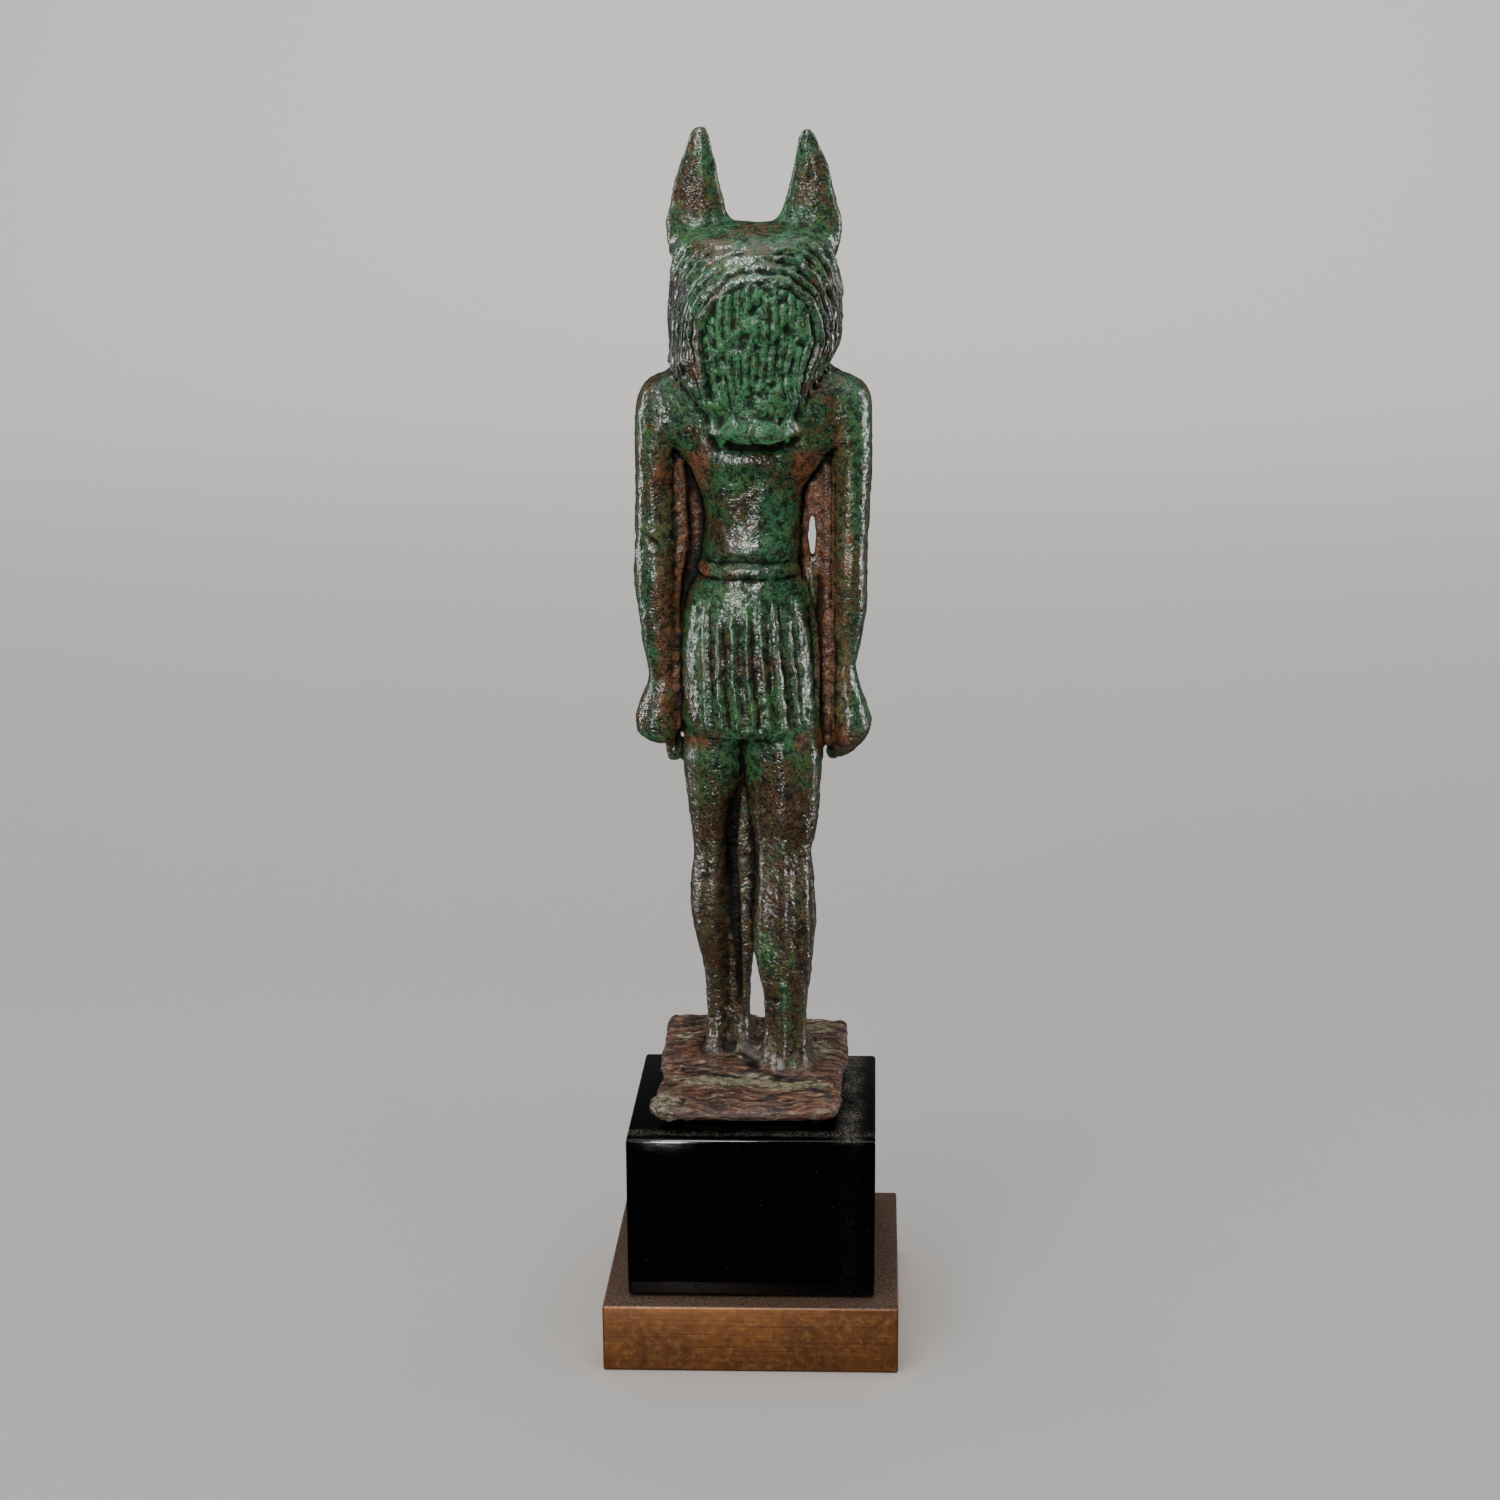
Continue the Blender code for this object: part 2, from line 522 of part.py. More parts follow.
figure = buildFigure()
for face in figure.data.polygons:
    face.use_smooth = True
figure.data.set_sharp_from_angle(angle=0.6)
block = buildBox("lacquered_block", blockSide, blockHeight, slabThickness + contactGap, blockEdge)
slab = buildBox("brass_slab", slabSide, slabThickness, 0.0, slabEdge)
paint(figure, "bronze with green patina", (0.16, 0.20, 0.12), 0.5, 0.4)
paint(block, "black lacquer", (0.006, 0.006, 0.007), 0.12, 0.0)
paint(slab, "brushed brass", (0.42, 0.20, 0.06), 0.38, 1.0)
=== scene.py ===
import math
from functools import partial
import bpy
import numpy as np
from mathutils import Matrix, Vector


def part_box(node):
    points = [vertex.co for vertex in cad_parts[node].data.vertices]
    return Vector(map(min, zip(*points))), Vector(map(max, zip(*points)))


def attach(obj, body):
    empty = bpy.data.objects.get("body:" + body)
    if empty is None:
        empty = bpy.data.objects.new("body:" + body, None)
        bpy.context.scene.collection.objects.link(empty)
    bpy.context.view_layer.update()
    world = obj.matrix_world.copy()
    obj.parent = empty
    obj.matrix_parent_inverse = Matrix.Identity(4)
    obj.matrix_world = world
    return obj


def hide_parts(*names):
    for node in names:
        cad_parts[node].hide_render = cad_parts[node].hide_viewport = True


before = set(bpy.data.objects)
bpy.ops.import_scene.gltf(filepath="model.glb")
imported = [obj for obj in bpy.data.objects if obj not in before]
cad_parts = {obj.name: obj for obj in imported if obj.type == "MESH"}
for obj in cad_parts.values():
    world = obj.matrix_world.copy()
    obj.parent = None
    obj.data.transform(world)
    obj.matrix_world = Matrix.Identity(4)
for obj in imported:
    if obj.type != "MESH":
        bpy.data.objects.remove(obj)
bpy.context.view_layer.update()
print("the solids are in")

# The camera stands behind the figure, level with the top of its ears, and looks down a little.
cameraValues = {
    "place": (-0.01716, 0.37821, 0.17905),
    "pitchDown": 13.61,
    "turn": 1.37,
    "lens": 64.55,
    "shiftX": -0.04,
}


def placeCamera(values):
    data = bpy.data.cameras.new("camera")
    data.lens = values["lens"]
    data.sensor_width = 36.0
    data.shift_x = values["shiftX"]
    data.clip_start = 0.01
    camera = bpy.data.objects.new("camera", data)
    bpy.context.scene.collection.objects.link(camera)
    camera.location = values["place"]
    pitch = math.radians(90 - values["pitchDown"])
    camera.rotation_euler = (pitch, 0.0, math.radians(180 + values["turn"]))
    bpy.context.scene.camera = camera


placeCamera(cameraValues)

# Shapes are written in millimetres, with heights above the top of the figure's own plate.
plateValues = {"thick": 1.9, "pad": 1.6, "inset": 4.0, "width": 27.2, "length": 39.5, "centreY": -4.3,
               "centreX": 0.35, "wear": 1.0}
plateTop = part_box("anubis_figure")[0][2] * 1000 + plateValues["thick"] + plateValues["pad"]


def softStep(values, low, high):
    share = np.clip((values - low) / (high - low), 0.0, 1.0)
    return share * share * (3 - 2 * share)


def stationsAt(table, t):
    # The values of a table of stations at t, along a smooth curve that doesn't overshoot.
    if t <= table[0][0]:
        return table[0][1:]
    if t >= table[-1][0]:
        return table[-1][1:]
    i = max(k for k in range(len(table)) if table[k][0] < t)
    a, b = table[i], table[i + 1]
    before, after = table[max(i - 1, 0)], table[min(i + 2, len(table) - 1)]
    span = b[0] - a[0]
    u = (t - a[0]) / span
    values = []
    for k in range(1, len(a)):
        steep = (b[k] - a[k]) / span
        ends = []
        for slope in ((b[k] - before[k]) / (b[0] - before[0]), (after[k] - a[k]) / (after[0] - a[0])):
            limit = 3 * abs(steep)
            ends.append(max(-limit, min(limit, slope)) if slope * steep > 0 else 0.0)
        values.append((2 * u**3 - 3 * u**2 + 1) * a[k] + (u**3 - 2 * u**2 + u) * span * ends[0]
                      + (3 * u**2 - 2 * u**3) * b[k] + (u**3 - u**2) * span * ends[1])
    return values


def deselectAll():
    if bpy.context.object and bpy.context.object.mode != "OBJECT":
        bpy.ops.object.mode_set(mode="OBJECT")
    bpy.ops.object.select_all(action="DESELECT")


def drawOut(name, rings, power=2.0, forward=False, corners=44):
    # A filled circle, squared a little, is drawn out ring by ring as in edit mode by hand.
    # A ring is a centre, its half width and its other half width. Forward forms grow along -Y.
    deselectAll()
    bpy.ops.mesh.primitive_circle_add(vertices=corners, radius=1.0, fill_type="NGON")
    form = bpy.context.active_object
    form.name = name
    for point in form.data.vertices:
        x, y = (math.copysign(abs(c) ** (2.0 / power), c) for c in point.co[:2])
        point.co = (x, 0.0, y) if forward else (x, y, 0.0)
    bpy.ops.object.mode_set(mode="EDIT")
    bpy.ops.mesh.select_all(action="SELECT")
    last = None
    for centre, wide, deep in rings:
        if last is None:
            growth = (wide, 1.0, deep) if forward else (wide, deep, 1.0)
            bpy.ops.transform.resize(value=growth, center_override=(0.0, 0.0, 0.0))
            bpy.ops.transform.translate(value=centre)
        else:
            step = Vector(centre) - Vector(last[0])
            bpy.ops.mesh.extrude_region_move(TRANSFORM_OT_translate={"value": step})
            a, b = wide / last[1], deep / last[2]
            growth = (a, 1.0, b) if forward else (a, b, 1.0)
            bpy.ops.transform.resize(value=growth, center_override=centre)
        last = (centre, wide, deep)
    bpy.ops.mesh.select_all(action="SELECT")
    bpy.ops.mesh.normals_make_consistent(inside=False)
    bpy.ops.object.mode_set(mode="OBJECT")
    return form


def uprightForm(name):
    power, step, table = formTables[name]
    low, high = table[0][0], table[-1][0]
    heights = sorted(set([row[0] for row in table] + list(np.arange(low, high, step))))
    rings = []
    for z in heights:
        if rings and z - rings[-1][0][2] < 0.12:  # too near the last ring
            continue
        left, right, front, back = stationsAt(table, z)
        rings.append((((left + right) / 2, (front + back) / 2, float(z)), abs(left - right) / 2,
                      abs(back - front) / 2))
    return drawOut(name, rings, power)


def barForm(name, stations, deep):
    # An upright bar: height, left, right and back. It reaches the given depth forward.
    rings = []
    for z, left, right, back in stations:
        rings.append((((left + right) / 2, back - deep / 2, z), abs(left - right) / 2, deep / 2))
    return drawOut(name, rings, 9.0, corners=24)


# The cast figure: the fineness of its skin, and the size and depth of its carving.
figureValues = {
    "voxel": 0.27, "smoothRounds": 5, "joinRounds": 36, "triangles": 192000, "strandPitch": 1.22,
    "strandDeep": 0.42, "panelDeep": 0.30, "grooveDeep": 0.55, "pleats": 28, "pleatRidge": 0.22,
    "pleatHollow": 0.24, "castUneven": 0.14, "hollowRounds": 12, "hollow": 0.20, "deepRounds": 70,
    "deep": 0.9,
}
# How square each upright form is and the step between its rings, and then its stations:
# height, left, right, front and back.
formTables = {
    "torso": (2.3, 1.4, [
        (68, 8.4, -7, -10.5, 1.6), (74, 7.7, -6.9, -9.8, 1.5), (76.8, 7.4, -6.5, -9.6, 1.7),
        (78.5, 7.3, -6.6, -9.7, 2.4), (80.4, 7.1, -6.7, -9.8, 2), (82.5, 7, -6.8, -9.8, 1.8),
        (87, 7.7, -7.2, -10.6, 2.4), (91.5, 10, -10.2, -11.6, 2.9), (94.5, 13.6, -13.6, -12.1, 3.2),
        (98, 15.2, -15.2, -12, 3.2), (101, 15, -15, -10.9, 2.5), (103.2, 13.2, -13.2, -9.2, 1.4),
        (105.6, 9.6, -9.6, -7.8, 0.4), (110, 6, -6, -7, -0.5)]),
    "kilt": (2.3, 1.0, [
        (51.4, 9.9, -9.2, -14.2, 2.7), (52.2, 10.3, -9.6, -14.6, 3.1), (53.6, 10.6, -9.5, -14.6, 3.3),
        (60, 10.6, -8.9, -13.6, 3.6), (66, 10.4, -8.4, -12.4, 3.7), (70.5, 9.9, -7.9, -11.2, 3.3),
        (73.4, 8.8, -7.3, -10.5, 2.9), (74.3, 8.2, -6.9, -10.1, 2.5), (74.7, 7.6, -6.5, -9.7, 1.7)]),
    "belt": (2.3, 1.0, [
        (74.3, 7.2, -6.2, -9.6, 1.3), (74.8, 7.7, -6.4, -10.1, 2.1), (75.1, 8, -6.6, -10.6, 2.9),
        (75.7, 8.1, -6.6, -10.7, 3.1), (76.3, 7.9, -6.5, -10.5, 2.8), (76.8, 7.4, -6.3, -9.8, 2),
        (77.2, 6.9, -6, -9.3, 1.2)]),
    "right_leg": (2.1, 1.4, [
        (-0.6, -0.4, -8.4, -8, 1.3), (1.4, -0.2, -8.4, -7.6, 1.35), (3.4, -0.9, -7.9, -6.8, 0.8),
        (6, -1.4, -7.4, -6.1, 0.3), (11, -1.1, -7.7, -5.9, 0.4), (14.5, -0.4, -8.3, -6.4, 1),
        (18.5, 0.7, -8.8, -7, 1.7), (23, 0.7, -9.1, -7.7, 2.2), (28.3, 0.2, -8.75, -8.3, 1.7),
        (33, 0.1, -8.2, -9.2, 0.7), (37, 0.5, -9.1, -9.5, 1.1), (43, 1.2, -9.6, -10.3, 1.7),
        (49, 2.4, -9.9, -11.2, 2), (56, 3, -9.2, -11.5, 2.2)]),
    "left_leg": (2.1, 1.4, [
        (-0.6, 8, 0.9, -14.8, -6), (1.4, 8, 0.9, -14.6, -6), (3.4, 7.95, 1, -13.9, -6.5),
        (6, 7.85, 1.15, -13.3, -6.9), (11, 7.9, 1.2, -13, -6.5), (14.5, 8.4, 1.2, -13.2, -5.7),
        (18.5, 9.2, 1.2, -13.5, -4.7), (22.5, 9.9, 1.15, -13.7, -4), (26.4, 10.1, 1.3, -13.8, -3.8),
        (32, 9.35, 1.7, -13.9, -3.9), (35, 9.6, 1.7, -13.8, -3.3), (42, 10.4, 1.4, -13.6, -1.4),
        (48, 10.7, 0.4, -13.4, 0), (56, 9.9, 0, -12.6, 1)]),
    "left_arm": (2.2, 1.4, [
        (49.2, 14.6, 12.2, -7.6, -4.2), (49.7, 16, 11.6, -9.4, -2.8), (51, 17.4, 11.3, -10.8, -1.6),
        (53, 17.6, 11.2, -11, -1.4), (55.5, 16.9, 11.2, -10.3, -2.2), (58.7, 15.5, 11.2, -9.2, -3.3),
        (61, 15.8, 11.1, -9.2, -2.9), (65, 16.5, 11, -9.1, -2), (70, 17, 11, -8.8, -1.2),
        (74, 17.4, 11.1, -8.6, -0.6), (79, 17.2, 11.2, -8.5, -0.7), (88, 17, 11.2, -8.8, -0.3),
        (93, 17, 10.8, -9.2, 0.3), (96.5, 17, 9.6, -9.4, 0.9), (99.4, 16.7, 9, -9.1, 0.8),
        (101.8, 15.8, 9.6, -8.2, -0.3), (103.2, 14, 10.6, -6.8, -2)]),
    "right_arm": (2.2, 1.4, [
        (47.2, -12.8, -11.4, -7.6, -4.2), (47.9, -13.9, -11.2, -9.4, -2.8),
        (49.2, -15.4, -11.2, -10.6, -1.8), (50.6, -16.6, -11.2, -10.9, -1.5),
        (52.4, -17.1, -11.2, -11, -1.4), (55.2, -16.2, -11.2, -10.3, -2.2),
        (60.5, -14.6, -11.3, -9.2, -3.3), (63, -15.1, -11.3, -9.2, -2.9), (67, -15.9, -11.2, -9.1, -2),
        (71, -16.3, -11.2, -8.8, -1.2), (75, -16.3, -11.2, -8.6, -0.6), (79, -16.3, -11.3, -8.5, -0.7),
        (88, -16.8, -11.3, -8.8, -0.3), (93, -16.9, -10.8, -9.2, 0.3), (96.5, -16.9, -9.6, -9.4, 0.9),
        (99.4, -16.9, -9, -9.1, 0.8), (101.8, -16.2, -9.6, -8.2, -0.3), (103.2, -14.2, -10.6, -6.8, -2)]),
    "wig": (2.25, 0.8, [
        (93.9, 4.8, -5.4, -1, 5), (94.4, 5.4, -5.9, -1, 6.3), (95.5, 5.7, -6.1, -1.2, 7),
        (97.1, 5.6, -6, -1.6, 6.7), (97.9, 6, -6.1, -2, 6.1), (99.9, 7.8, -7.2, -2.6, 6.4),
        (102.2, 9.6, -8.6, -5, 6.6), (105.2, 11.7, -10.8, -9, 6.8), (107.6, 11.7, -12.1, -11.8, 7.1),
        (111, 11.9, -12.6, -12.6, 7.3), (115.6, 11.6, -12.4, -12.7, 6.8), (118, 11.5, -12, -12.4, 5.9),
        (119.8, 10.9, -11.3, -11.6, 5), (121.2, 11.2, -11.4, -10.8, 3.8), (122.6, 9.8, -10, -9.4, 1.8),
        (123.7, 7.2, -7.4, -7.9, -0.8), (124.3, 4, -4.2, -6.2, -3)]),
    "left_ear": (2.0, 0.9, [
        (118.5, 11, 4.6, -7.6, -2.4), (121.5, 12.2, 3.4, -7.5, -2.2), (124.2, 12.5, 2.7, -7.3, -2.6),
        (126, 12, 3.5, -7.1, -2.9), (129, 11.4, 4.2, -6.8, -3.3), (132, 10.6, 4.75, -6.5, -3.7),
        (134.6, 9.5, 5.5, -6.2, -4.1), (136.3, 8.6, 6.05, -5.9, -4.3), (137.25, 7.95, 6.7, -5.7, -4.5)]),
    "right_ear": (2.0, 0.9, [
        (118.5, -11.2, -4.6, -7.6, -2.4), (121.5, -12.5, -3.4, -7.5, -2.2),
        (124, -12.8, -2.8, -7.3, -2.6), (125.8, -12.35, -3.8, -7.1, -2.9),
        (129, -11.6, -4.7, -6.8, -3.3), (132, -10.85, -5.4, -6.5, -3.7),
        (134.4, -9.8, -5.95, -6.2, -4.1), (136, -8.8, -6.35, -5.9, -4.3),
        (136.9, -8.15, -6.9, -5.7, -4.5)]),
    "left_lappet": (2.6, 1.4, [
        (84.6, 8.6, 3.4, -12.6, -9), (85.4, 9, 3, -13.3, -8), (90, 9.3, 2.9, -13.9, -8),
        (97, 9.7, 2.8, -14, -8), (103, 10.2, 3.2, -13.2, -6), (107.5, 10.6, 4.2, -11.8, -5),
        (111, 10.4, 4.6, -9.8, -4.5), (114, 9.6, 5, -8, -4.2)]),
    "right_lappet": (2.6, 1.4, [
        (84.6, -8.6, -3.4, -12.6, -9), (85.4, -9, -3, -13.3, -8), (90, -9.3, -2.9, -13.9, -8),
        (97, -9.7, -2.8, -14, -8), (103, -10.2, -3.2, -13.2, -6), (107.5, -10.6, -4.2, -11.8, -5),
        (111, -10.4, -4.6, -9.8, -4.5), (114, -9.6, -5, -8, -4.2)]),
    "heel_web": (2.2, 1.4, [
        (-0.8, 2.6, -2.2, -9.6, -2.6), (0.8, 2.4, -2.1, -9.4, -2.9), (2, 2, -2, -8.8, -3.6),
        (2.6, 1.2, -1.4, -7.8, -4.6)]),
    "left_stub": (2.0, 1.4, [
        (46.2, 12.9, 11.2, -7.6, -5.9), (47.4, 13.3, 10.9, -8, -5.4), (52, 13.6, 11.2, -8.2, -5.2)]),
    "right_stub": (2.0, 1.4, [
        (46.6, -12, -10.8, -7.6, -5.9), (47.4, -12.4, -10.3, -8, -5.4), (52, -13.4, -11, -8.2, -5.2)]),
}
# Along a foot from the heel: left, right and top. The head: reach, half width, top and low.
footTable = [
    (0, 2.6, -2.6, 1.6), (0.8, 3.5, -3.5, 3), (3.5, 3.7, -3.7, 4.4), (6.5, 3.4, -3.5, 4.6),
    (9.5, 3.5, -3.6, 3.7), (12.5, 3.9, -3.9, 2.7), (15, 4.1, -4, 2.1), (16.8, 3.9, -3.8, 1.8),
    (17.9, 3.3, -3.3, 1.3), (18.4, 2.8, -2.8, 0.7)]
footPlaces = {"right_foot": (-4.3, 1.5), "left_foot": (4.4, -5.7)}
footShare = 0.95
headTable = [
    (4, 6.6, 120, 106), (9, 7.2, 121.2, 105.4), (12, 6.8, 120.6, 105.2), (14.3, 5.7, 118.4, 105.4),
    (16.2, 4.4, 115.9, 105.9), (18.6, 3.5, 114.2, 106.5), (21.4, 3, 113.2, 107.2),
    (23.6, 2.6, 112.7, 107.7), (24.6, 2, 112.2, 108.3), (25, 1.1, 111.5, 109.2)]


def footForm(name):
    centreX, heelY = footPlaces[name]
    rings = []
    for along in np.arange(0.0, 18.41, 0.92):
        left, right, top = stationsAt(footTable, float(along))
        rings.append(((centreX + (left + right) / 2, heelY - along * footShare, 0.15),
                      (left - right) / 2, top))
    form = drawOut(name, rings, 2.4, forward=True, corners=40)
    for point in form.data.vertices:
        point.co.z = max(point.co.z, -0.6)  # the sole lies flat in the plate
    return form


def headForm():
    rings = []
    for reach in np.arange(4.0, 25.01, 0.7):
        half, top, low = stationsAt(headTable, float(reach))
        rings.append(((0.0, -float(reach), (top + low) / 2), half, (top - low) / 2))
    return drawOut("head", rings, 2.1, forward=True)


def earForm(name):
    form = uprightForm(name)
    table = formTables[name][2]
    for point in form.data.vertices:
        x, y, z = point.co
        left, right, front, back = stationsAt(table, z)
        across = min(1.0, abs(x - (left + right) / 2) / (abs(left - right) / 2))
        if y < (front + back) / 2:  # the shell is hollow in front
            lower = float(softStep(z, 118.5, 121.5))
            point.co.y += (1 - across * across) * (back - front) * 0.62 * lower
    return form


def eyeForm(name, side):
    # An almond with its rim, on the slope between brow and muzzle.
    deselectAll()
    bpy.ops.mesh.primitive_uv_sphere_add(segments=24, ring_count=14, radius=1.0)
    form = bpy.context.active_object
    form.name = name
    out = Vector((side * 0.80, -0.56, 0.22)).normalized()
    along = Vector((side * 0.47, 0.88, 0.0)).normalized()
    high = out.cross(along).normalized()
    if high.z < 0:
        high = -high
    place = Vector((side * 4.75, -14.35, 115.1))
    for point in form.data.vertices:
        a, b, c = point.co
        narrow = 1 - 0.38 * abs(a)
        point.co = place + along * a * 1.95 + high * b * 0.88 * narrow + out * c * 0.62
    return form


def plateForm(values):
    # A flat rectangle with soft corners and an uneven rim, over a smaller pad.
    deselectAll()
    bpy.ops.mesh.primitive_circle_add(vertices=160, radius=1.0, fill_type="NGON")
    form = bpy.context.active_object
    form.name = "plate"
    bpy.ops.object.mode_set(mode="EDIT")
    bpy.ops.mesh.select_all(action="SELECT")
    levels = [(-values["thick"] - values["pad"], values["inset"]), (-values["thick"], values["inset"] - 0.5),
              (-values["thick"], 0.5), (-values["thick"] * 0.75, 0.0), (-values["thick"] * 0.3, 0.0),
              (0.0, 0.5)]
    for level in levels[1:]:
        bpy.ops.mesh.extrude_region_move(TRANSFORM_OT_translate={"value": (0.0, 0.0, 1.0)})
    bpy.ops.object.mode_set(mode="OBJECT")
    for point in form.data.vertices:
        z, inset = levels[int(round(point.co.z))]
        angle = math.atan2(point.co.x, point.co.y) % (2 * math.pi)
        halfW, halfL = values["width"] / 2 - inset, values["length"] / 2 - inset
        c, s = math.cos(angle), math.sin(angle)
        power = 13 if c > 0 else 44  # the near corners are worn round, the far ones are nearly square
        grow = 1.0 / ((abs(s) / halfW) ** power + (abs(c) / halfL) ** power) ** (1 / power)
        x, y = s * grow, c * grow
        if inset < 2.0:
            uneven = 0.13 * math.sin(3 * angle + 0.6) + 0.08 * math.sin(7 * angle + 2.0)
            uneven = (uneven + 0.06 * math.sin(13 * angle)) * values["wear"]
            x += uneven * x / halfW
            y += uneven * y / halfL
            side = values["wear"] * abs(x / halfW) ** 8
            if x < 0:  # the right edge steps inwards half way along
                x -= side * (0.25 - 0.65 * float(softStep(y, -0.6, 1.6)))
            else:
                x += side * (0.15 - 0.35 * math.exp(-((y - 7.5) / 4.0) ** 2)
                             + 0.45 * float(softStep(y, 14.0, 17.0)))
        point.co = (x + values["centreX"], y + values["centreY"], z)
    return form


def cutAway(form, cutter):
    cut = form.modifiers.new("cut", "BOOLEAN")
    cut.operation = "DIFFERENCE"
    cut.solver = "EXACT"
    cut.object = cutter
    deselectAll()
    form.select_set(True)
    bpy.context.view_layer.objects.active = form
    bpy.ops.object.modifier_apply(modifier=cut.name)
    bpy.data.objects.remove(cutter)


def buildForms():
    forms = [uprightForm(name) for name in ("torso", "kilt", "belt", "right_leg", "left_leg", "left_arm",
                                            "right_arm", "wig")]
    forms += [footForm("right_foot"), footForm("left_foot"), headForm(), eyeForm("left_eye", 1),
              eyeForm("right_eye", -1), earForm("left_ear"), earForm("right_ear"), plateForm(plateValues),
              uprightForm("left_lappet"), uprightForm("right_lappet")]
    # Webs of metal that the founder left between arms and body and between the legs.
    forms.append(barForm("left_web", [(50.6, 13, 8.6, -5.2), (70, 13, 8.0, -4.2), (97, 13, 6.0, -3.4)], 2.4))
    forms.append(barForm("left_rib", [
        (51.5, 13.3, 10.9, -4.0), (69, 13.3, 10.9, -3.1), (74, 13.3, 10.3, -2.6),
        (80, 13.3, 9.3, -2.4), (92, 13.3, 9.9, -2.2), (96, 13.3, 10.6, -2.0)], 2.0))
    rightWeb = barForm("right_web", [
        (49.0, -7.6, -13, -4.4), (75, -6.0, -13, -3.2), (97, -6.0, -13, -2.8)], 2.8)
    cutAway(rightWeb, barForm("arm_slot", [
        (76.8, -8.2, -8.5, 3.0), (78.2, -7.9, -8.75, 3.0), (80, -7.75, -8.9, 3.0), (81.8, -7.85, -8.8, 3.0),
        (83.2, -8.2, -8.5, 3.0)], 16))
    legWeb = barForm("leg_web", [
        (5.0, 2.3, 1.9, -7.6), (11.0, 2.3, 1.2, -6.6), (17.0, 2.4, 0.5, -5.2), (21.0, 2.6, -0.1, -4.4),
        (32, 2.8, -0.8, -3.7), (46, 3.0, -0.8, -2.8)], 4.0)
    cutAway(legWeb, barForm("leg_slit", [(30.0, 0.95, 0.35, 6.0), (36.4, 1.05, 0.35, 6.0)], 26))
    # The stubs are broken ends of what the fists hold.
    return forms + [rightWeb, legWeb, uprightForm("heel_web"), uprightForm("left_stub"),
                    uprightForm("right_stub")]


def castTogether(forms, values):
    # The forms are run together in one skin, as in the mould, and the joins are softened.
    deselectAll()
    for form in forms:
        form.select_set(True)
    bpy.context.view_layer.objects.active = forms[0]
    bpy.ops.object.join()
    casting = bpy.context.active_object
    casting.name = "bronze_casting"
    casting.data.name = "bronze_casting"
    remesh = casting.modifiers.new("skin", "REMESH")
    remesh.mode = "VOXEL"
    remesh.voxel_size = values["voxel"]
    bpy.ops.object.modifier_apply(modifier=remesh.name)
    soften = casting.modifiers.new("soften", "SMOOTH")
    soften.factor = 0.5
    soften.iterations = values["smoothRounds"]
    bpy.ops.object.modifier_apply(modifier=soften.name)
    return casting


def skinOf(mesh):
    # The mesh's points, normals and edges as arrays.
    points = np.empty(len(mesh.vertices) * 3)
    mesh.vertices.foreach_get("co", points)
    normals = np.empty(len(mesh.vertices) * 3)
    mesh.vertices.foreach_get("normal", normals)
    edges = np.empty(len(mesh.edges) * 2, dtype=np.int64)
    mesh.edges.foreach_get("vertices", edges)
    return points.reshape(-1, 3), normals.reshape(-1, 3), edges.reshape(-1, 2).T


def averaged(points, edges, rounds, share=1.0):
    # Every point moves towards the middle of its neighbours, by its own share.
    a, b = edges
    count = len(points)
    near = np.maximum(np.bincount(a, minlength=count) + np.bincount(b, minlength=count), 1)
    for turn in range(rounds):
        middle = np.empty_like(points)
        for axis in range(3):
            total = np.bincount(a, points[b, axis], count) + np.bincount(b, points[a, axis], count)
            middle[:, axis] = total / near
        points = points + (middle - points) * share
    return points


casting = castTogether(buildForms(), figureValues)
print("the figure is cast in one skin:", len(casting.data.vertices), "points")

latticeSize = 48
lattice = np.random.default_rng(19).random((latticeSize, latticeSize, latticeSize))


def grain(points, size, shift=0.0):
    # Smooth noise from 0 to 1 with blobs of about the given size in millimetres.
    spots = points / size + shift + 200.0
    base = np.floor(spots).astype(int)
    part = spots - base
    part = part * part * (3 - 2 * part)
    total = np.zeros(len(points))
    for i in (0, 1):
        for j in (0, 1):
            for k in (0, 1):
                weight = np.ones(len(points))
                for axis, near in enumerate((i, j, k)):
                    weight = weight * (part[:, axis] if near else 1 - part[:, axis])
                cell = (base + (i, j, k)) % latticeSize
                total += weight * lattice[cell[:, 0], cell[:, 1], cell[:, 2]]
    return total


def cloudy(points, size, shift=0.0):
    return (grain(points, size, shift) * 0.55 + grain(points, size * 0.47, shift + 7.3) * 0.3
            + grain(points, size * 0.21, shift + 3.1) * 0.15)


def formField(name, points):
    # How far each point is outside a form, its turn from the middle of the back (left is +),
    # and the form's mean radius there.
    power, step, table = formTables[name]
    heights = np.linspace(table[0][0], table[-1][0], 200)
    rows = np.array([stationsAt(table, z) for z in heights])
    z = points[:, 2]
    left, right, front, back = (np.interp(z, heights, rows[:, k]) for k in range(4))
    centreX, centreY = (left + right) / 2, (front + back) / 2
    halfX, halfY = np.abs(left - right) / 2, np.abs(back - front) / 2
    u, v = (points[:, 0] - centreX) / halfX, (points[:, 1] - centreY) / halfY
    ratio = (np.abs(u) ** power + np.abs(v) ** power) ** (1 / power)
    size = np.hypot(points[:, 0] - centreX, points[:, 1] - centreY)
    gap = size * (1 - 1 / np.maximum(ratio, 0.001))
    gap = np.maximum(gap, np.maximum(table[0][0] - z, z - table[-1][0]))
    return gap, np.arctan2(u, v), (halfX + halfY) / 2


def onForm(gap, tight=0.35, loose=0.9):
    return 1 - softStep(np.abs(gap), tight, loose)


def ridges(distance, pitch):
    # 1 on a ridge and 0 in a groove, with a groove at distance 0.
    return 0.5 - 0.5 * np.cos(2 * np.pi * distance / pitch)


def narrow(distance, width):
    return np.exp(-(distance / width) ** 2)


